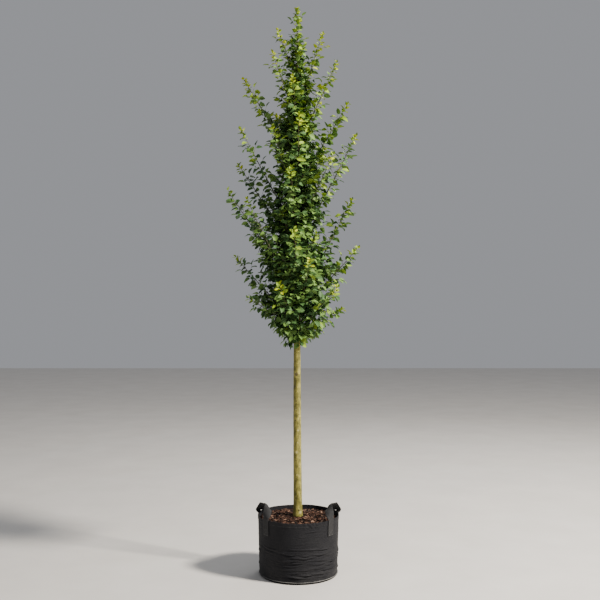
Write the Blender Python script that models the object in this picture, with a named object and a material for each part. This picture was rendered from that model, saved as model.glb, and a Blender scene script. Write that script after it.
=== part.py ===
"""A columnar beech standard in a fabric planting bag, as solids: the bag, its soil, two strap handles,
the trunk, the main boughs, and one mass of twigs and leaves on each bough.

Metres, +Z up. The origin is the centre of the bag's flat underside, and +X is the right-hand handle.
Compass angles run from +X towards +Y, so -90 is the front of the plant.
"""

import math
import random

import bmesh
import bpy
import numpy as np
from mathutils import Matrix, Vector

# ---- Driving dimensions -------------------------------------------------------------------------

GAP = 0.0003  # between pieces that touch

# Planting bag
BAG_HEIGHT = 0.337
BAG_TOP_RADIUS = 0.229
BAG_FOOT_RADIUS = 0.221
FABRIC = 0.004
HEM_DEPTH = 0.024
HEM_THICKER = 0.0012
RIM_ROUNDING = 0.001
BASE_THICKNESS = 0.006
BASE_ROUNDING = 0.009
BASE_CORNER = 0.3  # where the rounding's middle lies, as a share of it
WELT_TOP = 0.014
WELT_DEPTH = 0.005
WELT_OUT = 0.003
WELT_FACE = (0.2, 0.8)  # the upright part of its edge, as shares of its depth from the top
BAG_SIDES = 40

# Soil
SOIL_EDGE_BELOW_RIM = 0.025
SOIL_DOME = 0.010
SOIL_DOME_HALF_WAY = 0.6
SOIL_FLAT_RADIUS = 0.045
SOIL_SIDES = 28

# Strap handles: where the two stitched ends stand, counted round the rim from the front
STRAP_WIDTH = 0.046
STRAP_THICKNESS = 0.003
STRAP_FRONT_ANGLE = 51.0
STRAP_BACK_ANGLE = 105.0
STRAP_SEWN_DEPTH = 0.088
STRAP_OVER_HEM = (-0.004, 0.002)  # from below the hem's foot to above it
STRAP_RISE = 0.066
STRAP_FORWARD = 0.45  # how much steeper its front leg stands than its back one
STRAP_SQUARENESS = 0.55
STRAP_LEAN_IN = 0.035
STRAP_FRONT_LEAN_IN = 0.012
# Which way its outer face looks (right, back, up) at each share of the arch: it twists as it turns over
STRAP_FACES = [
    (0.16, (0.10, -0.95, 0.15)),
    (0.32, (-0.85, -0.45, 0.35)),
    (0.42, (-0.45, 0.25, 0.85)),
    (0.56, (-0.12, 0.75, 0.62)),
    (0.76, (0.20, 0.95, 0.25)),
]
STRAP_STEPS = 20

# Trunk
TRUNK_FOOT = BAG_HEIGHT - SOIL_EDGE_BELOW_RIM + SOIL_DOME + GAP
TRUNK_TIP = 2.90
TRUNK_BUTT_RADIUS = 0.0243
TRUNK_TIP_RADIUS = 0.0048
TRUNK_TAPER_POWER = 1.35
FLARE_OUT = 0.0045
FLARE_HEIGHT = 0.05
TRUNK_FOOT_X = -0.003
TRUNK_LEAN = -0.006
TRUNK_SWAY = 0.003
TRUNK_SIDES = 10
TRUNK_RINGS = 14
TRUNK_RING_CROWDING = 1.25  # towards the flare

# Crown: each shoot's height on the trunk, compass angle, reach from the trunk, and height of its tip.
# The first group each have a bough of their own. The second grow straight from the trunk: the slender
# shoots of its upper part, and short spurs that clothe it further down.
BOUGH_SHOOTS = [
    (1.335, 25, 0.300, 1.502),
    (1.360, 118, 0.280, 1.600),
    (1.395, 200, 0.300, 1.570),
    (1.375, -45, 0.325, 1.632),
    (1.385, -110, 0.295, 1.644),
    (1.420, 178, 0.360, 1.804),
    (1.430, 68, 0.320, 1.790),
    (1.445, -76, 0.300, 1.772),
    (1.480, -10, 0.355, 1.853),
    (1.520, 142, 0.345, 2.030),
    (1.540, 22, 0.345, 2.144),
    (1.560, 215, 0.345, 2.110),
    (1.580, -93, 0.300, 1.934),
    (1.620, 184, 0.404, 2.180),
    (1.750, 98, 0.315, 2.220),
    (1.860, -6, 0.338, 2.489),
]
TRUNK_SHOOTS = [
    (1.470, 225, 0.150, 1.720),
    (1.600, -45, 0.150, 1.930),
    (1.650, 60, 0.150, 1.960),
    (1.720, -125, 0.150, 2.060),
    (1.840, 165, 0.360, 2.338),
    (1.880, -98, 0.275, 2.276),
    (1.930, 190, 0.330, 2.523),
    (1.960, -48, 0.300, 2.355),
    (2.060, 58, 0.290, 2.460),
    (2.080, -125, 0.245, 2.505),
    (2.140, -88, 0.220, 2.566),
    (2.210, 12, 0.300, 2.688),
    (2.250, 122, 0.240, 2.650),
    (2.320, 174, 0.315, 2.823),
    (2.430, -20, 0.240, 2.891),
    (2.450, -100, 0.150, 2.800),
    (2.480, 80, 0.150, 2.880),
    (2.560, 205, 0.160, 2.956),
    (2.640, 12, 0.155, 3.088),
    (2.800, 190, 0.115, 3.091),
]
CROWN_TOP = 3.221

BOUGH_SHARE = 0.17  # of a shoot's length that is bare bough
BOUGH_SPREAD = 0.48  # how far out the shoot has come where its bend lies
BOUGH_BEND = 0.45  # how far up that is
BOUGH_SIDES = 5
BOUGH_RINGS = 3
LONGEST_SHOOT = 0.70
BOUGH_RADIUS = 0.0085  # at the trunk, on the longest shoot
STEM_RADIUS = 0.0058  # at the start of the longest shoot's mass
STEM_TIP_RADIUS = 0.0016
BOUGH_LEAST = 0.50  # the least share of these radii that a short shoot keeps
STEM_LEAST = 0.45
STEM_RINGS = 4

# Twigs and leaves: larger than life and fewer, so that the crown is as full as the real one
TWIG_STEP = 0.100
TWIG_LONGEST = 0.130
TWIG_SHORTEST = 0.060
TWIG_ANGLE = 55.0
TWIG_RADIUS = 0.0022
TWIG_TIP_RADIUS = 0.0013
TWIG_STARTS_AT = 0.5  # of its own share of the stem
TWIG_TRIES = (1.0, 0.75, 0.55)  # shares of its length, until one fits
TWIG_VARIES = (0.85, 1.15)
TWIGS_END_AT = 0.75  # of the stem, and only leaves go on from there
LEAF_STEP = 0.0545
LEAF_LENGTH = 0.108
LEAF_WIDTH = 0.068
LEAF_THICKNESS = 0.0022
LEAF_WIDEST = 0.46  # how far along it is widest, as a share of its length
LEAF_THICKEST = 0.36
LEAF_DROOP = 0.10
LEAF_FOLD = 0.13  # how far its sides stand above its rib, as a share of its width
TIP_LEAF_SIZE = 0.90
SIDE_LEAF_SIZES = (0.88, 1.08)
SMALLER_BY = 0.4  # at its last try, for a leaf at a side
TIP_SMALLER_BY = 0.3
TURNED_MORE = 4.0  # its turn grows by as many times, to its last try
LEAF_LEANS = (-0.25, 1.10)  # along its twig, where straight out is 0
LEAF_TURNS = 0.5  # radians either way about its twig
LEAF_OFFSET = 0.3  # of the way from one twig to the next
LEAF_FACES_OUT = (0.2, 1.3)
LEAF_FACES_ASIDE = 0.6
LEAF_FACES_UP = 0.7
LEAF_STARTS_AT = 0.6  # of its own share of the twig
TIP_SUNK = 0.003
TIP_STRAYS = 0.1
LEAF_TRIES = 14
GOLDEN_ANGLE = 137.5
SPACE_STEP = 0.012
SPACE_MARGIN = 0.0015
LIMB_MARGIN = 0.004
SEED = 11

SHARP_MADE = 35.0  # edges sharper than this stay crisp on made things
SHARP_GROWN = 60.0

BLACK_FABRIC = (0.018, 0.018, 0.020)
STRAP_BLACK = (0.030, 0.030, 0.033)
BARK_MULCH = (0.075, 0.042, 0.028)
OLIVE_BARK = (0.250, 0.235, 0.120)
LEAF_GREEN = (0.070, 0.150, 0.030)


# ---- Small helpers ------------------------------------------------------------------------------


def material(name, colour, roughness):
    made = bpy.data.materials.new(name)
    made.use_nodes = True
    shader = made.node_tree.nodes["Principled BSDF"]
    shader.inputs["Base Color"].default_value = (*colour, 1.0)
    shader.inputs["Roughness"].default_value = roughness
    shader.inputs["Metallic"].default_value = 0.0
    return made


def new_object(name, mesh, paint=None):
    made = bpy.data.objects.new(name, mesh)
    bpy.context.scene.collection.objects.link(made)
    if paint is not None:
        mesh.materials.append(paint)
    return made


def mesh_from(name, points, faces):
    mesh = bpy.data.meshes.new(name)
    mesh.from_pydata([tuple(p) for p in points], [], faces)
    return mesh


def turned(name, profile, sides, paint):
    """A profile of (radius, height) points spun about +Z: it starts and ends on the axis, or is a ring's."""
    shape = bmesh.new()
    points = [shape.verts.new((r, 0.0, z)) for r, z in profile]
    edges = [shape.edges.new(pair) for pair in zip(points, points[1:])]
    is_ring = profile[0][0] > 0.0
    if is_ring:
        edges.append(shape.edges.new((points[-1], points[0])))
    bmesh.ops.spin(shape, geom=points + edges, cent=(0, 0, 0), axis=(0, 0, 1),
                   angle=math.tau, steps=sides, use_merge=True)
    bmesh.ops.remove_doubles(shape, verts=shape.verts, dist=1e-6)
    bmesh.ops.recalc_face_normals(shape, faces=shape.faces)
    mesh = bpy.data.meshes.new(name)
    shape.to_mesh(mesh)
    shape.free()
    return new_object(name, mesh, paint)


def tube(points, radii, sides, first_way=None, last_way=None):
    """Points and faces of a tapering limb, its rings kept from turning along the way.

    Its flat ends face along the given ways, or along the limb itself."""
    last = len(points) - 1
    ways = [(points[min(k + 1, last)] - points[max(k - 1, 0)]).normalized() for k in range(last + 1)]
    ways[0] = first_way or ways[0]
    ways[last] = last_way or ways[last]
    side = ways[0].orthogonal().normalized()
    ring_points = []
    for centre, radius, ahead in zip(points, radii, ways):
        side = (side - ahead * side.dot(ahead)).normalized()
        across = ahead.cross(side)
        for s in range(sides):
            turn = math.tau * s / sides
            ring_points.append(centre + radius * (math.cos(turn) * side + math.sin(turn) * across))
    faces = []
    for k in range(len(points) - 1):
        for s in range(sides):
            a, b = k * sides + s, k * sides + (s + 1) % sides
            faces.append((a, b, b + sides, a + sides))
    faces.append(tuple(reversed(range(sides))))
    faces.append(tuple(range(len(ring_points) - sides, len(ring_points))))
    return ring_points, faces


def bend(start, middle, end, share):
    """The point at this share of a curve that leaves start towards middle and reaches end."""
    return (1 - share) ** 2 * start + 2 * share * (1 - share) * middle + share**2 * end


def shade_round(piece, angle):
    piece.data.shade_smooth()
    piece.data.set_sharp_from_angle(angle=math.radians(angle))


# ---- Planting bag -------------------------------------------------------------------------------


def bag_radius(height):
    """Outer radius of the bag's wall below its hem."""
    return BAG_FOOT_RADIUS + (BAG_TOP_RADIUS - BAG_FOOT_RADIUS) * height / BAG_HEIGHT


def outside_at(height):
    """Outer radius of the bag, hem included."""
    hem = HEM_THICKER if height > BAG_HEIGHT - HEM_DEPTH else 0.0
    return bag_radius(height) + hem


def make_bag(paint):
    wall_foot = BASE_THICKNESS + GAP
    hem_foot = BAG_HEIGHT - HEM_DEPTH
    wall = turned("bag_wall", [
        (bag_radius(wall_foot) - FABRIC, wall_foot),
        (bag_radius(wall_foot), wall_foot),
        (bag_radius(hem_foot), hem_foot),
        (bag_radius(hem_foot) + HEM_THICKER, hem_foot + HEM_THICKER),
        (BAG_TOP_RADIUS + HEM_THICKER, BAG_HEIGHT - RIM_ROUNDING),
        (BAG_TOP_RADIUS, BAG_HEIGHT),
        (BAG_TOP_RADIUS - FABRIC, BAG_HEIGHT - RIM_ROUNDING / 2),
    ], BAG_SIDES, paint)
    shade_round(wall, SHARP_MADE)
    rim = bag_radius(0.0)
    base = turned("bag_base", [
        (0.0, 0.0),
        (rim - BASE_ROUNDING, 0.0),
        (rim - BASE_CORNER * BASE_ROUNDING, BASE_CORNER * BASE_ROUNDING),
        (rim + GAP, WELT_TOP - WELT_DEPTH),
        (rim + WELT_OUT, WELT_TOP - WELT_FACE[1] * WELT_DEPTH),
        (rim + WELT_OUT, WELT_TOP - WELT_FACE[0] * WELT_DEPTH),
        (bag_radius(WELT_TOP) + GAP, WELT_TOP),
        (bag_radius(BASE_THICKNESS) + GAP, BASE_THICKNESS),
        (0.0, BASE_THICKNESS),
    ], BAG_SIDES, paint)
    shade_round(base, SHARP_MADE)


def make_soil(paint):
    foot = BASE_THICKNESS + 2 * GAP
    edge = BAG_HEIGHT - SOIL_EDGE_BELOW_RIM
    inside = FABRIC + 3 * GAP
    half_way = 0.5 * (BAG_TOP_RADIUS + SOIL_FLAT_RADIUS)
    soil = turned("soil", [
        (0.0, foot),
        (bag_radius(foot) - inside, foot),
        (bag_radius(edge) - inside, edge),
        (half_way, edge + SOIL_DOME_HALF_WAY * SOIL_DOME),
        (SOIL_FLAT_RADIUS, edge + SOIL_DOME),
        (0.0, edge + SOIL_DOME),
    ], SOIL_SIDES, paint)
    shade_round(soil, SHARP_MADE)


def out_from_bag(angle):
    """The direction straight out from the bag, at an angle counted from the front towards +X."""
    turn = math.radians(angle - 90)
    return Vector((math.cos(turn), math.sin(turn), 0))


def strap_path():
    """Centre and outward face of the right-hand strap at each step, from its front end to its back end.

    Sewn flat to the bag, it stands up from the rim and twists over to an arch that a hand goes under."""
    out = STRAP_THICKNESS / 2 + GAP
    hem_foot = BAG_HEIGHT - HEM_DEPTH
    on_hem = [hem_foot + step for step in STRAP_OVER_HEM]
    sewn_heights = (BAG_HEIGHT - STRAP_SEWN_DEPTH, *on_hem, BAG_HEIGHT)

    def sewn(angle):
        radial = out_from_bag(angle)
        side = 360 / BAG_SIDES
        nearest_corner = side * round(angle / side)
        flat = math.cos(math.radians(angle - nearest_corner))
        return [(radial * (outside_at(h) * flat + out) + Vector((0, 0, h)), radial) for h in sewn_heights]

    path = sewn(STRAP_FRONT_ANGLE)
    far_end = sewn(STRAP_BACK_ANGLE)
    faces = [(0.0, path[-1][1]), *STRAP_FACES, (1.0, far_end[-1][1])]
    middle = (STRAP_BACK_ANGLE + STRAP_FRONT_ANGLE) / 2
    half = (STRAP_BACK_ANGLE - STRAP_FRONT_ANGLE) / 2
    for k in range(1, STRAP_STEPS):
        share = k / STRAP_STEPS
        turn = math.pi * share
        arch = math.sin(turn)
        swing = math.copysign(abs(math.cos(turn)) ** STRAP_SQUARENESS, math.cos(turn))
        radial = out_from_bag(middle - half * swing)
        lean = STRAP_LEAN_IN * arch**2 + STRAP_FRONT_LEAN_IN * math.sin(2 * turn)
        reach = outside_at(BAG_HEIGHT) + 2 * out - lean
        rise = STRAP_RISE * arch * (1 + STRAP_FORWARD * math.cos(turn))
        centre = radial * reach + Vector((0, 0, BAG_HEIGHT + rise))
        later = next(n for n, (place, _) in enumerate(faces) if place >= share)
        (place, face), (next_place, next_face) = faces[later - 1], faces[later]
        between = (share - place) / (next_place - place)
        between = between * between * (3 - 2 * between)
        path.append((centre, Vector(face).lerp(Vector(next_face), between).normalized()))
    path.extend(reversed(far_end))
    return path


def make_strap(name, mirrored, paint):
    path = strap_path()
    points, faces = [], []
    for k, (centre, face) in enumerate(path):
        ahead = (path[min(k + 1, len(path) - 1)][0] - path[max(k - 1, 0)][0]).normalized()
        face = (face - ahead * face.dot(ahead)).normalized()
        across = ahead.cross(face)
        for w, f in ((-1, -1), (1, -1), (1, 1), (-1, 1)):
            corner = centre + across * (w * STRAP_WIDTH / 2) + face * (f * STRAP_THICKNESS / 2)
            points.append(corner)
    for k in range(len(path) - 1):
        for s in range(4):
            a, b = 4 * k + s, 4 * k + (s + 1) % 4
            faces.append((a, b, b + 4, a + 4))
    faces.append((3, 2, 1, 0))
    faces.append(tuple(range(len(points) - 4, len(points))))
    if mirrored:
        points = [Vector((-p.x, p.y, p.z)) for p in points]
    mesh = mesh_from(name, points, faces)
    shape = bmesh.new()
    shape.from_mesh(mesh)
    bmesh.ops.recalc_face_normals(shape, faces=shape.faces)
    shape.to_mesh(mesh)
    shape.free()
    shade_round(new_object(name, mesh, paint), SHARP_MADE)


# ---- Trunk and boughs ---------------------------------------------------------------------------


def trunk_centre(height):
    share = (height - TRUNK_FOOT) / (CROWN_TOP - TRUNK_FOOT)
    sway = math.sin(math.tau * share)
    return Vector((TRUNK_FOOT_X + TRUNK_LEAN * share - TRUNK_SWAY * sway, TRUNK_SWAY * sway, height))


def trunk_radius(height):
    share = min(1.0, (height - TRUNK_FOOT) / (TRUNK_TIP - TRUNK_FOOT))
    taper = TRUNK_TIP_RADIUS + (TRUNK_BUTT_RADIUS - TRUNK_TIP_RADIUS) * (1 - share**TRUNK_TAPER_POWER)
    return taper + FLARE_OUT * math.exp(-(height - TRUNK_FOOT) / FLARE_HEIGHT)


def trunk_mesh(name, grown):
    """The trunk, or the trunk grown by this much on all sides, as the boughs' cutter."""
    shares = [(k / TRUNK_RINGS) ** TRUNK_RING_CROWDING for k in range(TRUNK_RINGS + 1)]
    heights = [TRUNK_FOOT + (TRUNK_TIP - TRUNK_FOOT) * share for share in shares]
    centres = [trunk_centre(h) for h in heights]
    points, faces = tube(centres, [trunk_radius(h) + grown for h in heights], TRUNK_SIDES)
    return mesh_from(name, points, faces)


class Shoot:
    """A bough and the mass on it: one curve from the trunk to the foot of the leaf at the shoot's tip."""

    def __init__(self, name, number, row, bare_share):
        on_trunk, compass, reach, tip_height = row
        self.name = name
        self.number = number
        self.bare_share = bare_share
        self.starts_on_trunk = bare_share == 0.0 and reach > 0.0
        turn = math.radians(compass)
        outward = Vector((math.cos(turn), math.sin(turn), 0))
        self.start = trunk_centre(on_trunk)
        self.leaf_tip = trunk_centre(tip_height) + outward * reach
        whole_way = (self.leaf_tip - self.start).normalized()
        self.tip = self.leaf_tip - whole_way * TIP_LEAF_SIZE * LEAF_LENGTH
        rise = self.tip.z - self.start.z
        self.middle = self.start + outward * (reach * BOUGH_SPREAD) + Vector((0, 0, rise * BOUGH_BEND))
        self.length = (self.tip - self.start).length
        self.scale = min(1.0, self.length / LONGEST_SHOOT)

    def at(self, share):
        return bend(self.start, self.middle, self.tip, share)

    def way(self, share):
        """The direction in which the curve runs here."""
        return ((1 - share) * (self.middle - self.start) + share * (self.tip - self.middle)).normalized()

    def stem_points(self, rings):
        first = self.bare_share
        return [self.at(first + (1 - first) * k / rings) for k in range(rings + 1)]

    def stem_radius(self, share):
        thick = STEM_RADIUS * (STEM_LEAST + (1 - STEM_LEAST) * self.scale)
        return thick + (STEM_TIP_RADIUS - thick) * share


def all_shoots():
    """Every shoot, numbered from the lowest bough up, and last the leader that grows on from the trunk."""
    rows = [(row, BOUGH_SHARE) for row in BOUGH_SHOOTS] + [(row, 0.0) for row in TRUNK_SHOOTS]
    shoots = [Shoot(f"{k:02d}", k, row, bare) for k, (row, bare) in enumerate(rows, 1)]
    leader = (TRUNK_TIP + GAP, 0, 0.0, CROWN_TOP)
    shoots.append(Shoot("top", len(shoots) + 1, leader, 0.0))
    return shoots


def cut_clear_of_trunk(piece, cutter):
    cut = piece.modifiers.new("clear of the trunk", "BOOLEAN")
    cut.operation = "DIFFERENCE"
    cut.solver = "EXACT"
    cut.object = cutter


def make_bough(shoot, cutter, paint):
    """The bare part of a shoot, from the trunk's bark to where the mass starts."""
    last = shoot.bare_share
    end_way = shoot.way(last)
    points = [shoot.at(last * k / BOUGH_RINGS) for k in range(BOUGH_RINGS + 1)]
    points[-1] = points[-1] - end_way * GAP
    thick = BOUGH_RADIUS * (BOUGH_LEAST + (1 - BOUGH_LEAST) * shoot.scale)
    thin = shoot.stem_radius(0.0)
    radii = [thick + (thin - thick) * k / BOUGH_RINGS for k in range(BOUGH_RINGS + 1)]
    points, faces = tube(points, radii, BOUGH_SIDES, last_way=end_way)
    bough = new_object(f"bough_{shoot.name}", mesh_from("bough", points, faces), paint)
    cut_clear_of_trunk(bough, cutter)
    shade_round(bough, SHARP_GROWN)


# ---- Masses of foliage --------------------------------------------------------------------------


class Space:
    """Says whose space a point is in, and whether it is clear of the trunk and boughs."""

    def __init__(self, shoots):
        places, owners = [], []
        for shoot in shoots:
            count = max(2, int(shoot.length / SPACE_STEP))
            tip_leaf = [shoot.tip.lerp(shoot.leaf_tip, share) for share in (0.5, 1.0)]
            for p in shoot.stem_points(count) + tip_leaf:
                places.append(p)
                owners.append(shoot.number)
        self.places = np.array(places)
        self.owners = np.array(owners)
        limbs, radii = [], []
        for k in range(int((TRUNK_TIP - TRUNK_FOOT) / SPACE_STEP) + 1):
            height = TRUNK_FOOT + k * SPACE_STEP
            limbs.append(trunk_centre(height))
            radii.append(trunk_radius(height))
        for shoot in shoots:
            count = int(shoot.length * shoot.bare_share / SPACE_STEP)
            for k in range(count + 1 if count else 0):
                limbs.append(shoot.at(shoot.bare_share * k / count))
                radii.append(BOUGH_RADIUS)
        self.limbs = np.array(limbs)
        self.limb_radii = np.array(radii)

    def free(self, number, points):
        points = np.array(points)
        away = np.linalg.norm(points[:, None] - self.places[None], axis=2)
        own = np.where(self.owners == number, away, np.inf).min(axis=1)
        others = np.where(self.owners != number, away, np.inf).min(axis=1)
        if (own + SPACE_MARGIN > others - SPACE_MARGIN).any():
            return False
        from_limbs = np.linalg.norm(points[:, None] - self.limbs[None], axis=2) - self.limb_radii
        return bool((from_limbs > LIMB_MARGIN).all())


def leaf_points(root, ahead, up, size):
    """The six corners of a leaf: foot, tip, two sides, and the middle of its upper and lower face."""
    across = ahead.cross(up).normalized()
    up = across.cross(ahead).normalized()
    length = LEAF_LENGTH * size
    half_width = LEAF_WIDTH * size / 2
    widest = root + ahead * LEAF_WIDEST * length + up * LEAF_FOLD * 2 * half_width
    thickest = root + ahead * LEAF_THICKEST * length
    return [
        root,
        root + ahead * length - up * LEAF_DROOP * length,
        widest + across * half_width,
        widest - across * half_width,
        thickest + up * LEAF_THICKNESS / 2,
        thickest - up * LEAF_THICKNESS / 2,
    ]


LEAF_FACES = [(0, 2, 4), (2, 1, 4), (1, 3, 4), (3, 0, 4), (2, 0, 5), (1, 2, 5), (3, 1, 5), (0, 3, 5)]


def leaf_probe(corners):
    """Points all over a leaf, to test its space with."""
    foot, tip, left, right, middle, _ = corners
    probe = [tip, left, right, middle, (left + tip) / 2, (right + tip) / 2, (middle + tip) / 2]
    return probe + [(foot + left) / 2, (foot + right) / 2, (foot + middle) / 2]


class Mass:
    """Twigs that branch from one stem, with leaves on them, all inside the stem's own space."""

    def __init__(self, shoot, space):
        self.shoot = shoot
        self.space = space
        self.draw = random.Random(SEED * 100 + shoot.number)
        self.twigs = []
        self.leaves = []
        self.grow()

    def put_leaf(self, root, along, side):
        """One leaf from this root, turned out to this side of its twig, or none where there is no room."""
        draw = self.draw
        for attempt in range(LEAF_TRIES):
            share = attempt / LEAF_TRIES
            roll = draw.uniform(-LEAF_TURNS, LEAF_TURNS) * (1 + TURNED_MORE * share)
            ahead = Matrix.Rotation(roll, 3, along) @ side + along * draw.uniform(*LEAF_LEANS)
            size = draw.uniform(*SIDE_LEAF_SIZES) * (1 - SMALLER_BY * share)
            if self.try_leaf(root, ahead, size):
                return

    def put_tip_leaf(self, end, along):
        """The leaf that a twig or a shoot ends in."""
        draw = self.draw
        for attempt in range(LEAF_TRIES):
            stray = Vector([draw.uniform(-TIP_STRAYS, TIP_STRAYS) * (1 + attempt) for _ in range(3)])
            size = TIP_LEAF_SIZE * (1 - TIP_SMALLER_BY * attempt / LEAF_TRIES)
            if self.try_leaf(end - along * TIP_SUNK, along + stray, size):
                return

    def try_leaf(self, root, ahead, size):
        """Adds a leaf that faces outwards and up, if all of it is in the mass's space."""
        outward = Vector((root.x, root.y, 0.0)).normalized()
        face = outward * self.draw.uniform(*LEAF_FACES_OUT)
        face += Vector((self.draw.uniform(-LEAF_FACES_ASIDE, LEAF_FACES_ASIDE), 0.0, LEAF_FACES_UP))
        corners = leaf_points(root, ahead.normalized(), face, size)
        fits = self.space.free(self.shoot.number, leaf_probe(corners))
        if fits:
            self.leaves.append(corners)
        return fits

    def put_twig(self, root, ahead, length):
        """A twig with its leaves, shorter where there is less room, or nothing where there is none."""
        for share in TWIG_TRIES:
            end = root + ahead * length * share
            if self.space.free(self.shoot.number, [(root + end) / 2, end]):
                break
        else:
            return False
        length *= share
        self.twigs.append((root, end))
        flat = ahead.cross(Vector((0, 0, 1))).normalized()
        count = max(1, round(length / LEAF_STEP))
        for k in range(count):
            place = root + ahead * length * (k + LEAF_STARTS_AT) / count
            self.put_leaf(place, ahead, flat * (1 if k % 2 else -1))
        self.put_tip_leaf(end, ahead)
        return True

    def grow(self):
        shoot = self.shoot
        stem_length = shoot.length * (1 - shoot.bare_share)
        count = max(3, round(stem_length / TWIG_STEP))
        compass = self.draw.uniform(0, 360)
        for k in range(count):
            share = (k + TWIG_STARTS_AT) / count
            whole = shoot.bare_share + (1 - shoot.bare_share) * share
            root = shoot.at(whole)
            along = shoot.way(whole)
            compass += GOLDEN_ANGLE
            side = Matrix.Rotation(math.radians(compass), 3, along) @ along.orthogonal().normalized()
            lean = math.radians(TWIG_ANGLE)
            ahead = (along * math.cos(lean) + side * math.sin(lean)).normalized()
            length = TWIG_LONGEST + (TWIG_SHORTEST - TWIG_LONGEST) * share
            length *= self.draw.uniform(*TWIG_VARIES)
            if share > TWIGS_END_AT or not self.put_twig(root, ahead, length):
                self.put_leaf(root, along, side)
            self.put_leaf(shoot.at(whole + LEAF_OFFSET / count), along, -side)
            self.put_leaf(shoot.at(whole - LEAF_OFFSET / count), along, side.cross(along))
        self.put_tip_leaf(shoot.tip, along)


def fused_pieces(stem, loose, cutter):
    """The stem's mesh joined with the loose pieces, which are then removed, and cut clear of the trunk."""
    parts = bpy.data.collections.new("parts of one mass")
    for piece in loose:
        bpy.context.scene.collection.objects.unlink(piece)
        parts.objects.link(piece)
    fuse = stem.modifiers.new("one piece", "BOOLEAN")
    fuse.operation = "UNION"
    fuse.solver = "MANIFOLD"
    fuse.operand_type = "COLLECTION"
    fuse.collection = parts
    if cutter is not None:
        cut_clear_of_trunk(stem, cutter)
    graph = bpy.context.evaluated_depsgraph_get()
    fused = bpy.data.meshes.new_from_object(stem.evaluated_get(graph))
    stem.modifiers.clear()
    for piece in loose:
        bpy.data.objects.remove(piece)
    bpy.data.collections.remove(parts)
    return fused


def keep_one_body(mesh):
    """Drops all but the body with the most faces: loose scraps, and the walls of sealed hollows."""
    shape = bmesh.new()
    shape.from_mesh(mesh)
    left = set(shape.faces)
    bodies = []
    while left:
        found = {left.pop()}
        to_visit = list(found)
        while to_visit:
            face = to_visit.pop()
            for edge in face.edges:
                for neighbour in edge.link_faces:
                    if neighbour in left:
                        left.discard(neighbour)
                        found.add(neighbour)
                        to_visit.append(neighbour)
        bodies.append(found)
    whole = max(bodies, key=len)
    for body in bodies:
        if body is not whole:
            bmesh.ops.delete(shape, geom=list(body), context="FACES")
    shape.to_mesh(mesh)
    shape.free()


def make_mass(mass, cutter, paint):
    """Fuses a mass's stem, twigs and leaves into one solid."""
    shoot = mass.shoot
    name = f"foliage_{shoot.name}"
    radii = [shoot.stem_radius(k / STEM_RINGS) for k in range(STEM_RINGS + 1)]
    first_way = shoot.way(shoot.bare_share)
    limb = tube(shoot.stem_points(STEM_RINGS), radii, 3, first_way=first_way)
    stem = new_object(name, mesh_from(name, *limb))
    loose = []
    for root, end in mass.twigs:
        twig = mesh_from("twig", *tube([root, end], [TWIG_RADIUS, TWIG_TIP_RADIUS], 3))
        loose.append(new_object("twig", twig))
    for corners in mass.leaves:
        loose.append(new_object("leaf", mesh_from("leaf", corners, LEAF_FACES)))
    stem.data = fused_pieces(stem, loose, cutter if shoot.starts_on_trunk else None)
    keep_one_body(stem.data)
    stem.data.materials.clear()
    stem.data.materials.append(paint)


# ---- The whole plant ----------------------------------------------------------------------------


def main():
    for old in list(bpy.data.objects):
        bpy.data.objects.remove(old)
    fabric = material("black fabric", BLACK_FABRIC, 0.9)
    webbing = material("strap webbing", STRAP_BLACK, 0.75)
    mulch = material("bark mulch", BARK_MULCH, 0.95)
    bark = material("olive bark", OLIVE_BARK, 0.7)
    leaves = material("beech leaves", LEAF_GREEN, 0.45)

    make_bag(fabric)
    make_soil(mulch)
    make_strap("handle_right", False, webbing)
    make_strap("handle_left", True, webbing)

    trunk = new_object("trunk", trunk_mesh("trunk", 0.0), bark)
    shade_round(trunk, SHARP_GROWN)
    cutter = new_object("trunk_cutter", trunk_mesh("trunk_cutter", GAP))
    cutter.hide_render = True
    cutter.display_type = "WIRE"

    shoots = all_shoots()
    for shoot in shoots:
        if shoot.bare_share:
            make_bough(shoot, cutter, bark)
    space = Space(shoots)
    grown = 0
    for shoot in shoots:
        mass = Mass(shoot, space)
        grown += len(mass.leaves)
        make_mass(mass, cutter, leaves)
    print(f"{grown} leaves on {len(shoots)} masses")


main()
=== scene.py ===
import math
import random
from contextlib import contextmanager

import bpy
import numpy as np
from mathutils import Matrix, Vector, noise


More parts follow.
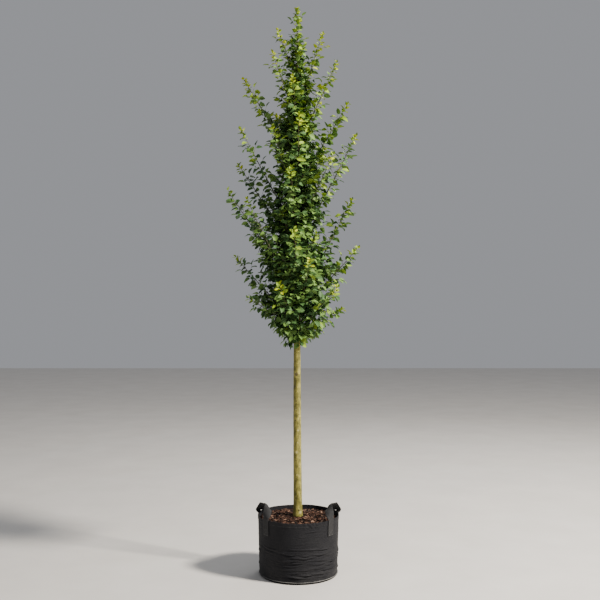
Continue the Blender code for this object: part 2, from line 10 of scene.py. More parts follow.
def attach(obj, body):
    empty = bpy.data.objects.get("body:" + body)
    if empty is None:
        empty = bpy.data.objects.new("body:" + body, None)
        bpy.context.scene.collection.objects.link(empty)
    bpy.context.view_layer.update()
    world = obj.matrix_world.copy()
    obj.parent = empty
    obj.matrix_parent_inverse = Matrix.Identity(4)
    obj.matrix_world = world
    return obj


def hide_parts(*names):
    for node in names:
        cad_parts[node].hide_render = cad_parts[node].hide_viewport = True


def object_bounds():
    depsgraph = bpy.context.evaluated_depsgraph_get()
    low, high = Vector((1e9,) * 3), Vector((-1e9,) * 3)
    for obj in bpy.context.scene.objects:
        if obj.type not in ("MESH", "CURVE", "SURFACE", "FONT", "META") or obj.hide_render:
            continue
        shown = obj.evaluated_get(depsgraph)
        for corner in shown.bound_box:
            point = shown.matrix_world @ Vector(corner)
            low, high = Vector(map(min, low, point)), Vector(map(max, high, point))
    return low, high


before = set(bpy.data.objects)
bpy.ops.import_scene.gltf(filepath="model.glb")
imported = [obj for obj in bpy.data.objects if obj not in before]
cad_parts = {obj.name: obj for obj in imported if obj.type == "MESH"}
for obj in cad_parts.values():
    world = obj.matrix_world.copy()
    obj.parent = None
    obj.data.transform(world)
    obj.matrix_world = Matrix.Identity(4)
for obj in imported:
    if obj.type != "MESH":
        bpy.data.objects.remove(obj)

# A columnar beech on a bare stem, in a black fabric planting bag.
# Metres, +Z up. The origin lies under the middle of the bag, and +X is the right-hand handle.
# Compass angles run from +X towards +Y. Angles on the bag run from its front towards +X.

cadLow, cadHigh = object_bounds()
straightUp = Vector((0, 0, 1))
gap = 0.0003


# Working with objects

def pickUp(thing):
    for other in list(bpy.context.selected_objects):
        other.select_set(False)
    thing.select_set(True)
    bpy.context.view_layer.objects.active = thing


def justAdded(name):  # what the last call made, with its place put into its mesh
    thing = bpy.context.object
    thing.name = name
    pickUp(thing)
    bpy.ops.object.transform_apply(location=True, rotation=True, scale=True)
    return thing


def addDrum(name, sides, radius, foot, top):
    bpy.ops.mesh.primitive_cylinder_add(vertices=sides, radius=radius, depth=top - foot,
                                        location=(0, 0, foot + (top - foot) / 2))
    return justAdded(name)


def settle(thing, **settings):
    for name, value in settings.items():
        setattr(thing, name, value)
    return thing


def addModifier(thing, kind, **settings):
    settle(thing.modifiers.new(kind.lower(), kind), **settings)


def applyModifiers(thing):
    pickUp(thing)
    for modifier in list(thing.modifiers):
        bpy.ops.object.modifier_apply(modifier=modifier.name)


def roundEdges(thing, width, sharpFrom):
    addModifier(thing, "BEVEL", width=width, segments=2, limit_method="ANGLE",
                angle_limit=math.radians(sharpFrom))
    applyModifiers(thing)


@contextmanager
def editing(thing, edges=None, faces=None):  # selects what one of the tests says yes to, or else everything
    mesh = thing.data
    pickUp(thing)
    bpy.context.tool_settings.mesh_select_mode = (False, bool(edges), not edges)
    for part in (mesh.vertices, mesh.edges, mesh.polygons):
        part.foreach_set("select", [not edges and not faces] * len(part))
    if edges:
        for edge in mesh.edges:
            edge.select = edges(*(mesh.vertices[k].co for k in edge.vertices))
    if faces:
        for face in mesh.polygons:
            face.select = faces(face)
    bpy.ops.object.mode_set(mode="EDIT")
    yield
    bpy.ops.object.mode_set(mode="OBJECT")


def pointsOf(thing):
    points = np.empty(len(thing.data.vertices) * 3)
    thing.data.vertices.foreach_get("co", points)
    return points.reshape(-1, 3)


def setPoints(thing, points):
    thing.data.vertices.foreach_set("co", np.ascontiguousarray(points).ravel())
    thing.data.update()


def facesOutward(thing):
    with editing(thing):
        bpy.ops.mesh.remove_doubles(threshold=0.00002)
        bpy.ops.mesh.normals_make_consistent(inside=False)


def dress(thing, sharpFrom, paint, nodes):
    pickUp(thing)
    bpy.ops.object.shade_smooth_by_angle(angle=math.radians(sharpFrom))
    thing.data.materials.clear()
    thing.data.materials.append(paint)
    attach(thing, "root")
    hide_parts(*nodes)


def takeShape(thing):  # a small finished shape as points and triangles, to be copied many times
    mesh = thing.data
    mesh.calc_loop_triangles()
    triangles = np.array([t.vertices[:] for t in mesh.loop_triangles])
    points = pointsOf(thing)
    bpy.data.objects.remove(thing)
    return points, triangles


class Heap:  # many small copies that end up as one mesh
    def __init__(self):
        self.points, self.triangles, self.count = [], [], 0

    def add(self, points, triangles):
        self.points.append(points)
        self.triangles.append(triangles + self.count)
        self.count += len(points)

    def put(self, shape, size, ways, root):  # a copy set down with its X, Y and Z along three ways
        points, triangles = shape
        self.add((points * size) @ np.array(ways) + np.array(root), triangles)

    def makeObject(self, name):
        mesh = bpy.data.meshes.new(name)
        mesh.from_pydata(np.concatenate(self.points), [], np.concatenate(self.triangles))
        mesh.validate()
        thing = bpy.data.objects.new(name, mesh)
        bpy.context.scene.collection.objects.link(thing)
        return thing


def threeWays(ahead, face):
    ahead = ahead.normalized()
    side = ahead.cross(face).normalized()
    return side, ahead, side.cross(ahead)


def compassWay(turn):
    return Vector((math.cos(turn), math.sin(turn), 0))


def smoothStep(share):
    share = np.clip(share, 0.0, 1.0)
    return share * share * (3 - 2 * share)


def eased(share):
    return float(smoothStep(share))


# Working with materials

def feed(node, values):  # a value that is another node's output is linked
    for name, value in values.items():
        if isinstance(value, bpy.types.NodeSocket):
            node.id_data.links.new(value, node.inputs[name])
        else:
            node.inputs[name].default_value = value
    return node


def addNode(tree, kind, values=None, **settings):
    return feed(settle(tree.nodes.new("ShaderNode" + kind), **settings), values or {})


def objectPlace(tree):
    return addNode(tree, "TexCoord").outputs["Object"]


def objectHeight(tree):
    return addNode(tree, "SeparateXYZ", {0: objectPlace(tree)}).outputs["Z"]


def calculate(tree, operation, *values):
    return addNode(tree, "Math", dict(enumerate(values)), operation=operation).outputs[0]


def remap(tree, value, low, high, toLow=0.0, toHigh=1.0):
    spans = {"Value": value, "From Min": low, "From Max": high, "To Min": toLow, "To Max": toHigh}
    return addNode(tree, "MapRange", spans, interpolation_type="SMOOTHSTEP").outputs[0]


def spread(tree, value, toLow, toHigh):
    return addNode(tree, "MapRange", {"Value": value, "To Min": toLow, "To Max": toHigh}).outputs[0]


def mixColours(tree, share, under, over):
    return addNode(tree, "Mix", {0: share, 6: under, 7: over}, data_type="RGBA").outputs[2]


def addBump(tree, height, strength, distance, **under):
    values = {"Height": height, "Strength": strength, "Distance": distance, **under}
    return addNode(tree, "Bump", values).outputs[0]


def newGroup(name, inputs, outputs):
    group = bpy.data.node_groups.new(name, "ShaderNodeTree")
    for label, value in inputs.items():
        kind = "NodeSocketVector" if isinstance(value, tuple) else "NodeSocketFloat"
        group.interface.new_socket(label, in_out="INPUT", socket_type=kind).default_value = value
    for label in outputs:
        group.interface.new_socket(label, in_out="OUTPUT", socket_type="NodeSocketFloat")
    return group, group.nodes.new("NodeGroupInput").outputs, group.nodes.new("NodeGroupOutput")


def useGroup(tree, group, values=None):
    return addNode(tree, "Group", values, node_tree=group).outputs


def newMaterial(name, values):
    paint = bpy.data.materials.new(name)
    paint.use_nodes = True
    return paint, paint.node_tree, feed(paint.node_tree.nodes["Principled BSDF"], values)


def rampOf(tree, value, stops):  # stops are places from 0 to 1, each with its colour
    ramp = addNode(tree, "ValToRGB", {"Fac": value})
    while len(ramp.color_ramp.elements) < len(stops):
        ramp.color_ramp.elements.new(0.5)
    for element, (place, colour) in zip(ramp.color_ramp.elements, stops):
        settle(element, position=place, color=(*colour, 1.0))
    return ramp.outputs[0]


# Two sizes of noise laid over each other, stretched along Z: blotches, streaks and grain
def makeMottle():
    sizes = {"Size": 0.05, "Fine Size": 0.004, "Stretch": 1.0, "Fine Share": 0.4}
    group, given, out = newGroup("mottle", sizes, ["Mask", "Fine"])
    perStretch = calculate(group, "DIVIDE", 1.0, given["Stretch"])
    squeeze = addNode(group, "CombineXYZ", {"X": 1.0, "Y": 1.0, "Z": perStretch}).outputs[0]
    place = addNode(group, "VectorMath", {0: objectPlace(group), 1: squeeze}, operation="MULTIPLY")
    clouds = []
    for label, detail in (("Size", 4.0), ("Fine Size", 6.0)):
        perSize = calculate(group, "DIVIDE", 1.0, given[label])
        cloud = addNode(group, "TexNoise", {"Vector": place.outputs[0], "Scale": perSize,
                                            "Detail": detail, "Roughness": 0.6})
        clouds.append(cloud.outputs["Fac"])
    blend = addNode(group, "Mix", {0: given["Fine Share"], 2: clouds[0], 3: clouds[1]}, data_type="FLOAT")
    feed(out, {"Mask": blend.outputs[0], "Fine": clouds[1]})
    return group


# Pressed fibres of non-woven cloth: short hairs that lie every way, and small pressed dimples
def makeFelt():
    group, given, out = newGroup("felt", {"Fibre Size": 0.0016, "Dimple Size": 0.0045},
                                 ["Fibres", "Height"])
    place = objectPlace(group)
    perFibre = calculate(group, "DIVIDE", 1.0, given["Fibre Size"])
    fibres = addNode(group, "TexNoise", {"Vector": place, "Scale": perFibre, "Detail": 5.0,
                                         "Roughness": 0.7, "Distortion": 2.5}).outputs["Fac"]
    perDimple = calculate(group, "DIVIDE", 1.0, given["Dimple Size"])
    dimples = addNode(group, "TexVoronoi", feature="SMOOTH_F1")
    feed(dimples, {"Vector": place, "Scale": perDimple, "Smoothness": 0.6})
    height = calculate(group, "MULTIPLY_ADD", dimples.outputs["Distance"], 0.45, fibres)
    feed(out, {"Fibres": fibres, "Height": height})
    return group


# A ragged round spot at one place
def makeSpot():
    group, given, out = newGroup("spot", {"Centre": (0, 0, 0), "Size": 0.01, "Ragged": 0.5}, ["Mask"])
    place = objectPlace(group)
    away = addNode(group, "VectorMath", {0: place, 1: given["Centre"]}, operation="DISTANCE")
    share = calculate(group, "DIVIDE", away.outputs["Value"], given["Size"])
    cloud = addNode(group, "TexNoise", {"Vector": place, "Scale": 260.0, "Detail": 3.0})
    rough = calculate(group, "MULTIPLY", cloud.outputs["Fac"], given["Ragged"])
    total = calculate(group, "ADD", share, rough)
    feed(out, {"Mask": remap(group, total, 0.75, 1.25, 1.0, 0.0)})
    return group


mottleGroup = makeMottle()
feltGroup = makeFelt()
spotGroup = makeSpot()


def useMottle(tree, size, fine, share=0.4, stretch=1.0):
    return useGroup(tree, mottleGroup, {"Size": size, "Fine Size": fine, "Fine Share": share,
                                        "Stretch": stretch})


def mottledPaint(name, values, sizes, stops=None, gloss=None, relief=None):
    paint, tree, shader = newMaterial(name, values)
    grain = useMottle(tree, *sizes)
    if stops:
        feed(shader, {"Base Color": rampOf(tree, grain["Mask"], stops)})
    if gloss:
        feed(shader, {"Roughness": spread(tree, grain["Mask"], *gloss)})
    if relief:
        feed(shader, {"Normal": addBump(tree, grain["Fine"], *relief)})
    return paint


# Planting bag: a felted cloth wall, creased where the soil settled in it, with a turned hem

bag = {
    "height": 0.337,
    "topRadius": 0.229,
    "footRadius": 0.221,
    "cloth": 0.004,
    "wallFoot": 0.0063,
    "hemDepth": 0.024,
    "hemThicker": 0.0012,
    "hemEdge": 0.0012,
    "seamUp": 0.004,  # how far the hem's seam runs above its lower edge
    "seamDip": 0.0006,
    "rimWave": 0.0016,
    "waveDepth": 0.05,
    "rimRoll": 0.0008,
    "rimRound": 0.0009,
    "pucker": 0.0009,
    "bulge": 0.0022,
    "sides": 240,
    "rings": 150,
    "seed": 5,
}

creaseRanges = {
    "count": 125,
    "depth": 0.0043,
    "lowShare": 0.88,
    "low": (0.030, 0.195),
    "high": (0.195, 0.290),
    "front": (-20, 55),
    "round": (-180, 180),
    "span": (9, 30),
    "width": (0.0025, 0.0046),
    "shallower": (0.4, 1.0),
    "slope": (-0.00034, 0.00034),
    "sag": (-0.0000060, 0.0000220),
    "waver": 0.0015,
}

strap = {
    "width": 0.046,
    "thickness": 0.003,
    "frontAngle": 51.0,
    "backAngle": 105.0,
    "sewnDepth": 0.088,
    "sewnSteps": 26,
    "sewnSpan": (7, 3),  # degrees either side where the cloth is held flat, and then lets go
    "rise": 0.061,
    "forward": 0.45,  # how much steeper its front leg stands than its back one
    "squareness": 0.55,
    "leanIn": 0.035,
    "frontLeanIn": 0.012,
    # how far along the arch its face looks which way: right, back and up
    "faces": [(0.16, (0.10, -0.95, 0.15)), (0.32, (-0.85, -0.45, 0.35)), (0.43, (-0.30, 0.75, 0.55)),
              (0.56, (-0.05, 0.97, 0.20)), (0.88, (0.25, 0.95, 0.10))],
    "steps": 84,
    "columns": 14,
    "curl": 0.0075,
    "curlRise": 0.02,
    "crumple": 0.0006,
    "hem": 0.0004,
    "hemRoom": 0.0006,
    "cornerRound": 0.0008,
    "stitch": 0.0052,
    "stitchShare": 0.72,  # of its length that is thread
    "hemStitchStep": 1.25,
    "thread": 0.00055,
    "threadLift": 0.0001,
    "seamInset": 0.0045,
    "boxUp": 0.004,
    "boxHeight": 0.030,
}


def bagRadius(height):
    return bag["footRadius"] + (bag["topRadius"] - bag["footRadius"]) * height / bag["height"]


def outFromBag(angle):
    return compassWay(math.radians(angle - 90))


def angleGap(angle, centre):  # from -180 to 180
    return (angle - centre + 180) % 360 - 180


def drawCreases():
    draw = random.Random(bag["seed"])

    def pick(name):
        return draw.uniform(*creaseRanges[name])

    made = []
    for k in range(creaseRanges["count"]):
        low = draw.random() < creaseRanges["lowShare"]
        made.append({
            "height": pick("low" if low else "high"),
            "centre": pick("round" if k % 2 else "front"),
            "span": pick("span"),
            "width": pick("width"),
            "depth": creaseRanges["depth"] * pick("shallower") * (1.0 if low else 0.5),
            "slope": pick("slope"),
            "sag": pick("sag"),
        })
    return made


creases = drawCreases()


def underStrap(angle, height):  # 1 where a strap is sewn on, 0 away from it
    reach = np.zeros_like(angle)
    held, fade = strap["sewnSpan"]
    for centre in (strap["frontAngle"], strap["backAngle"]):
        for away in (angleGap(angle, centre), angleGap(angle, -centre)):
            reach = np.maximum(reach, smoothStep(1 - (np.abs(away) - held) / fade))
    return reach * smoothStep((height - bag["height"] + strap["sewnDepth"] + 0.012) / 0.010)


def bagRelief(angle, height):  # how far the cloth stands out or in
    total = np.zeros_like(angle)
    for crease in creases:
        along = angleGap(angle, crease["centre"])
        line = crease["height"] + crease["slope"] * along + crease["sag"] * along**2
        line += creaseRanges["waver"] * np.sin(np.radians(along) * 9 + crease["centre"])
        across = (height - line) / crease["width"]
        fold = np.exp(-across**2) - 0.75 * np.exp(-(across + 1.7)**2)
        total += crease["depth"] * fold * smoothStep(1 - np.abs(along) / crease["span"])
    turn = np.radians(angle)
    share = height / bag["height"]
    broad = np.sin(3 * turn + 0.8 + 2.2 * share) + 0.7 * np.sin(5 * turn - 1.1 - 3.0 * share)
    total += bag["bulge"] * 0.5 * broad * np.sin(np.pi * np.clip(share, 0, 1))
    pucker = np.sin(41 * turn + 1.5 * np.sin(7 * turn)) * (0.55 + 0.45 * np.sin(2 * turn + 0.4))
    crumple = np.sin(83 * turn + 3 * np.sin(11 * turn) + height * 240)
    pucker += 2.2 * crumple * smoothStep(1 - np.abs(angleGap(angle, 30)) / 34)
    total += bag["pucker"] * pucker * smoothStep((height - bag["height"] + 0.045) / 0.03)
    fade = smoothStep((height - 0.012) / 0.02)
    return total * fade * (1 - underStrap(angle, height))


def makeBagWall(paint):
    wall = addDrum("bagWall", bag["sides"], bag["topRadius"], bag["wallFoot"], bag["height"])
    with editing(wall, faces=lambda face: abs(face.normal.z) > 0.9):
        bpy.ops.mesh.delete(type="ONLY_FACE")
    cutIntoRings(wall, bag["rings"])
    x, y, height = pointsOf(wall).T
    turn = np.arctan2(y, x)
    angle = np.degrees(turn) + 90
    aboveHem = height - bag["height"] + bag["hemDepth"]
    seamDip = bag["seamDip"] * np.exp(-((aboveHem - bag["seamUp"]) / 0.0012)**2)
    hem = bag["hemThicker"] * smoothStep(aboveHem / bag["hemEdge"])
    radius = bagRadius(height) + hem - seamDip + bagRelief(angle, height)
    nearRim = smoothStep((height - bag["height"] + bag["waveDepth"]) / bag["waveDepth"])
    nearRim *= 1 - underStrap(angle, height)
    wave = np.sin(4 * turn + 0.5) + 0.6 * np.sin(7 * turn + 2.0) + 0.35 * np.sin(13 * turn)
    height = height - bag["rimWave"] * nearRim * (1 + 0.5 * wave)
    radius = radius - bag["rimRoll"] * smoothStep((height - bag["height"] + 0.003) / 0.003)
    setPoints(wall, np.column_stack([radius * np.cos(turn), radius * np.sin(turn), height]))
    facesOutward(wall)
    addModifier(wall, "SOLIDIFY", thickness=bag["cloth"], offset=-1)
    roundEdges(wall, bag["rimRound"], 60)
    dress(wall, 60, paint, ["bag_wall"])


def cutIntoRings(thing, rings):  # subdivides a cylinder along its length alone
    with editing(thing, edges=lambda first, second: abs(first.z - second.z) > 1e-5):
        bpy.ops.mesh.subdivide(number_cuts=rings - 1)


foot = {
    "weltTop": 0.014,
    "weltDepth": 0.0052,
    "weltOut": 0.0030,
    "rounding": 0.009,
    "sheet": 0.0005,
    "inside": 0.0062,
    "sides": 200,
    "corner": [(0.62, 0.0008), (0.30, 0.0027), (0.08, 0.0055)],  # share of the rounding in, and height
    "welt": [(0.75, 0.93), (1.0, 0.72), (1.0, 0.30), (0.72, 0.07)],  # shares of it out and down
}


def makeBagFoot(paint):
    rim = bag["footRadius"]
    lastRadius, lastHeight = rim - foot["rounding"], foot["sheet"]
    base = addDrum("bagFoot", foot["sides"], lastRadius, 0, lastHeight)
    # each ring is pulled out from the one before, from the flat underside up over the welt
    steps = [(rim - share * foot["rounding"], height) for share, height in foot["corner"]]
    steps.append((rim + gap, foot["weltTop"] - foot["weltDepth"]))
    for out, down in foot["welt"]:
        steps.append((rim + out * foot["weltOut"], foot["weltTop"] - down * foot["weltDepth"]))
    steps.append((bagRadius(foot["weltTop"]) + 2 * gap, foot["weltTop"]))
    steps.append((bagRadius(0.006) + 2 * gap, foot["inside"]))
    with editing(base, faces=lambda face: face.normal.z > 0.9):
        for radius, height in steps:
            bpy.ops.mesh.extrude_region_move(
                TRANSFORM_OT_translate={"value": (0, 0, height - lastHeight)})
            grow = radius / lastRadius
            bpy.ops.transform.resize(value=(grow, grow, 1), center_override=(0, 0, height))
            lastRadius, lastHeight = radius, height
    points = pointsOf(base)
    turn = np.arctan2(points[:, 1], points[:, 0])
    away = np.hypot(points[:, 0], points[:, 1])
    lift = smoothStep((points[:, 2] - 0.0045) / 0.004) * (away > rim - 0.002)
    wobble = 0.0006 * np.sin(6 * turn + 1) + 0.0004 * np.sin(17 * turn) + 0.0003 * np.sin(53 * turn)
    points[:, 2] += wobble * lift
    points[:, :2] *= (1 + wobble * lift)[:, None]
    setPoints(base, points)
    dress(base, 55, paint, ["bag_base"])


def strapPath():  # centre and outward face at each step along the right-hand strap, front end first
    out = strap["thickness"] / 2 + gap
    top = bag["height"]
    hemFoot = top - bag["hemDepth"]
    half = (strap["backAngle"] - strap["frontAngle"]) / 2
    middle = (strap["backAngle"] + strap["frontAngle"]) / 2

    def sewn(radial):
        line = []
        for height in np.linspace(top - strap["sewnDepth"], top, strap["sewnSteps"]).tolist():
            hem = bag["hemThicker"] * eased((height - hemFoot + 0.004) / 0.006)
            line.append((radial * (bagRadius(height) + hem + out) + straightUp * height, radial))
        return line

    front, back = outFromBag(strap["frontAngle"]), outFromBag(strap["backAngle"])
    path = sewn(front)
    faces = [(0.0, front), *strap["faces"], (1.0, back)]
    for k in range(1, strap["steps"]):
        share = k / strap["steps"]
        turn = math.pi * share
        arch = math.sin(turn)
        swing = math.copysign(abs(math.cos(turn)) ** strap["squareness"], math.cos(turn))
        radial = outFromBag(middle - half * swing)
        lean = strap["leanIn"] * arch**2 + strap["frontLeanIn"] * max(0.0, math.sin(2 * turn))
        reach = bagRadius(top) + bag["hemThicker"] + 2 * out - lean
        rise = strap["rise"] * arch * (1 + strap["forward"] * math.cos(turn))
        last = next(n for n, (place, _) in enumerate(faces) if place >= share)
        before, after = faces[last - 1], faces[last]
        between = eased((share - before[0]) / (after[0] - before[0]))
        face = Vector(before[1]).lerp(Vector(after[1]), between).normalized()
        path.append((radial * reach + Vector((0, 0, top + rise)), face))
    return path + sewn(back)[::-1]


def strapFrames():  # the same path with its three ways: ahead, across and face
    path = strapPath()
    frames = []
    for k, (centre, face) in enumerate(path):
        before, after = path[max(k - 1, 0)][0], path[min(k + 1, len(path) - 1)][0]
        ahead = (after - before).normalized()
        face = (face - ahead * face.dot(ahead)).normalized()
        frames.append((centre, ahead, ahead.cross(face), face))
    return frames


def makeStraps(paint, *threadPaints):
    frames = strapFrames()
    centres, _, acrossWays, faceWays = (np.array(ways) for ways in zip(*frames))
    lengths = np.concatenate([[0], np.cumsum(np.linalg.norm(np.diff(centres, axis=0), axis=1))])
    for name, node, mirror in (("handleRight", "handle_right", 1), ("handleLeft", "handle_left", -1)):
        bpy.ops.mesh.primitive_grid_add(x_subdivisions=strap["columns"], y_subdivisions=len(frames) - 1,
                                        size=1)
        piece = justAdded(name)
        points = pointsOf(piece)
        station = np.rint((points[:, 1] + 0.5) * (len(frames) - 1)).astype(int)
        across = points[:, 0] * 2  # from -1 to 1
        free = smoothStep((centres[station, 2] - bag["height"]) / strap["curlRise"])
        crumple = np.sin(lengths[station] * 190 + across * 2.2) * np.sin(lengths[station] * 71 + mirror)
        lift = strap["curl"] * free * (0.35 - across**2) + strap["crumple"] * free * crumple
        hemmed = strap["hem"] * smoothStep((np.abs(across) - 0.62) / 0.1)
        place = centres[station] + acrossWays[station] * (across * strap["width"] / 2)[:, None]
        place += faceWays[station] * (lift + hemmed)[:, None]
        place[:, 0] *= mirror
        setPoints(piece, place)
        addModifier(piece, "SOLIDIFY", thickness=strap["thickness"] - strap["hemRoom"], offset=0)
        roundEdges(piece, strap["cornerRound"], 50)
        facesOutward(piece)
        dress(piece, 55, paint, [node])
    makeStitches(frames, lengths, threadPaints)


def stitchShape():  # one stitch along Y, a unit long: a thread that dips into the cloth at both ends
    bpy.ops.mesh.primitive_cylinder_add(vertices=6, radius=1, depth=1, rotation=(math.pi / 2, 0, 0))
    stitch = justAdded("stitch")
    with editing(stitch, edges=lambda first, second: abs(first.y - second.y) > 0.5):
        bpy.ops.mesh.subdivide(number_cuts=3)
    points = pointsOf(stitch)
    bow = 1 - (points[:, 1] * 2)**2
    thin = 0.55 + 0.45 * bow
    points[:, 0] *= thin
    points[:, 2] = points[:, 2] * thin + 1.1 * bow - 0.9
    setPoints(stitch, points)
    return takeShape(stitch)


def makeStitches(frames, lengths, paints):
    heap, boxes = Heap(), Heap()
    shape = stitchShape()
    thread, long = strap["thread"], strap["stitch"]
    surface = strap["thickness"] / 2 + strap["threadLift"]
    edge = strap["width"] / 2 - strap["seamInset"]
    seamCurl = 0.35 - (edge * 2 / strap["width"])**2

    def put(into, root, ahead, face, length=long * strap["stitchShare"]):
        into.put(shape, np.array([thread, length, thread]), threeWays(ahead, face), root)

    for flip in (Vector((1, 1, 1)), Vector((-1, 1, 1))):
        for sideOf in (-1, 1):  # a running seam along both edges
            for spot in np.arange(long, lengths[-1] - long, long):
                k = min(int(np.searchsorted(lengths, spot)), len(frames) - 1)
                centre, ahead, across, face = frames[k]
                free = eased((centre.z - bag["height"]) / strap["curlRise"])
                root = centre + across * sideOf * edge + face * (surface + strap["curl"] * free * seamCurl)
                put(heap, root * flip, ahead * flip, face * flip)
        for end in (0, -1):  # a crossed box at each sewn end
            centre, _, across, face = frames[end]
            low = centre + face * surface + straightUp * strap["boxUp"]
            corners = [low - across * edge, low + across * edge]
            corners += [corner + straightUp * strap["boxHeight"] for corner in corners[::-1]]
            for first, second in ((0, 1), (2, 3), (0, 2), (1, 3)):
                run = corners[second] - corners[first]
                count = int(run.length / long)
                for k in range(count):
                    root = corners[first] + run * ((k + 0.5) / count)
                    put(boxes, root * flip, run * flip, face * flip)
    step = long * strap["hemStitchStep"]
    height = bag["height"] - bag["hemDepth"] + bag["seamUp"]
    for k in range(int(math.tau * bag["topRadius"] / step)):  # round the hem
        angle = math.degrees(k * step / bag["topRadius"])
        angles, heights = np.array([angle]), np.array([height])
        if underStrap(angles, heights)[0] > 0.4:
            continue
        radial = outFromBag(angle)
        radius = bagRadius(height) + bag["hemThicker"] + bagRelief(angles, heights)[0] - gap
        sink = bag["rimWave"] * eased((height - bag["height"] + bag["waveDepth"]) / bag["waveDepth"])
        root = radial * radius + Vector((0, 0, height - sink))
        put(heap, root, straightUp.cross(radial), radial, long)
    for stitched, name, paint in zip((heap, boxes), ("bagStitches", "boxStitches"), paints):
        dress(stitched.makeObject(name), 60, paint, ["bag_wall"])


def makeBagMaterials():
    paint, tree, shader = newMaterial("black felted cloth", {
        "Roughness": 0.75, "Sheen Weight": 0.02, "Sheen Roughness": 0.5, "Specular IOR Level": 0.22,
    })
    felt = useGroup(tree, feltGroup)
    blotch = useMottle(tree, 0.09, 0.010, 0.35)
    colour = rampOf(tree, felt["Fibres"], [
        (0.30, (0.0022, 0.0024, 0.0038)), (0.52, (0.0060, 0.0062, 0.0086)),
        (0.75, (0.0190, 0.0194, 0.0235)),
    ])
    low = remap(tree, objectHeight(tree), 0.0, 0.11, 0.40, 0.10)
    dusty = calculate(tree, "MULTIPLY", low, remap(tree, blotch["Mask"], 0.42, 0.68))
    wrinkled = addBump(tree, useMottle(tree, 0.024, 0.010, 0.4, 0.15)["Mask"], 0.60, 0.0060)
    feed(shader, {"Base Color": mixColours(tree, dusty, colour, (0.054, 0.053, 0.053, 1.0)),
                  "Normal": addBump(tree, felt["Height"], 0.55, 0.0009, Normal=wrinkled)})

    # The upper part of the welt is painted pale in patches: partly a painted highlight along the welt,
    # partly dust.
    footPaint, tree, shader = newMaterial("welt cloth with painted highlight and dust", {"Roughness": 0.9, "Specular IOR Level": 0.25})
    patches = useMottle(tree, 0.030, 0.005, 0.5)
    onWelt = remap(tree, objectHeight(tree), 0.0108, 0.0126)
    share = calculate(tree, "MULTIPLY", onWelt, remap(tree, patches["Mask"], 0.36, 0.58, 0.45, 1.0))
    paintedHighlightAndDust = mixColours(tree, share, (0.0030, 0.0030, 0.0034, 1.0), (0.185, 0.183, 0.180, 1.0))
    feed(shader, {"Base Color": paintedHighlightAndDust,
                  "Normal": addBump(tree, useGroup(tree, feltGroup)["Height"], 0.5, 0.0008)})

    strapPaint, tree, shader = newMaterial("black strap cloth", {
        "Roughness": 0.8, "Sheen Weight": 0.06, "Sheen Roughness": 0.5, "Specular IOR Level": 0.3,
    })
    felt = useGroup(tree, feltGroup, {"Fibre Size": 0.0012, "Dimple Size": 0.0030})
    colour = rampOf(tree, felt["Fibres"], [
        (0.30, (0.0070, 0.0070, 0.0080)), (0.55, (0.0140, 0.0142, 0.0158)),
        (0.75, (0.033, 0.0335, 0.0365)),
    ])
    feed(shader, {"Base Color": colour, "Normal": addBump(tree, felt["Height"], 0.6, 0.0007)})

    threads = []
    for name, dark, pale in (("black thread", 0.012, 0.040), ("grey thread", 0.060, 0.180)):
        stops = [(0.35, (dark, dark, dark)), (0.70, (pale, pale, pale * 0.96))]
        threads.append(mottledPaint(name, {"Roughness": 0.6, "Sheen Weight": 0.2}, (0.03, 0.0008, 0.6),
                                    stops))
    return paint, footPaint, strapPaint, threads


# Soil: a domed bed of crumbs under a mulch of bark chips

soil = {
    "edgeBelowRim": 0.025,
    "dome": 0.010,
    "flatRadius": 0.045,
    "foot": 0.0066,
    "clearOfWall": 0.0024,
    "chipsClear": 0.0035,
    "sides": 120,
    "rings": 30,
    "lumps": 0.0028,
    "chipShapes": 6,
    "crumbLength": (0.003, 0.006),
    "chipLength": (0.006, 0.014),  # the shortest, and how much longer the longest is
    "thickest": 0.0045,
    # crumbs, then chips: whether small, how many, how far they tip and how often each tone comes
    "bark": [(True, 3600, 0.6, (5, 3, 1, 0.4)), (False, 3000, 0.42, (4, 5, 2.4, 1))],
    "seed": 3,
}

barkTones = {
    "Dark": (0.0070, 0.0034, 0.0024),
    "Red": (0.030, 0.0125, 0.0078),
    "Tan": (0.088, 0.043, 0.027),
    "Pale": (0.260, 0.160, 0.110),
}


def soilHeight(away):
    edge = bag["height"] - soil["edgeBelowRim"]
    share = (bag["topRadius"] - away) / (bag["topRadius"] - soil["flatRadius"])
    return edge + soil["dome"] * eased(share) ** 0.8


def soilLumps(x, y):
    coarse = noise.noise(Vector((x * 38, y * 38, 1.7)))
    fine = noise.noise(Vector((x * 130, y * 130, 4.1)))
    return soil["lumps"] * (coarse + 0.5 * fine) - 0.001


def makeSoil(paint):
    edge = bag["height"] - soil["edgeBelowRim"]
    inside = bag["cloth"] + soil["clearOfWall"]
    topRadius = bagRadius(edge) - inside
    taper = (bagRadius(soil["foot"]) - inside) / topRadius
    bed = addDrum("soilBed", soil["sides"], topRadius, soil["foot"], edge)
    with editing(bed, faces=lambda face: face.normal.z > 0.9):
        for _ in range(soil["rings"] - 1):
            bpy.ops.mesh.inset(thickness=topRadius / soil["rings"])
        bpy.ops.mesh.poke()
    for point in bed.data.vertices:
        x, y, z = point.co
        if z > edge - 0.001:
            point.co.z = soilHeight(math.hypot(x, y)) + soilLumps(x, y)
        else:
            point.co = (x * taper, y * taper, z)
    dress(bed, 70, paint, ["soil"])


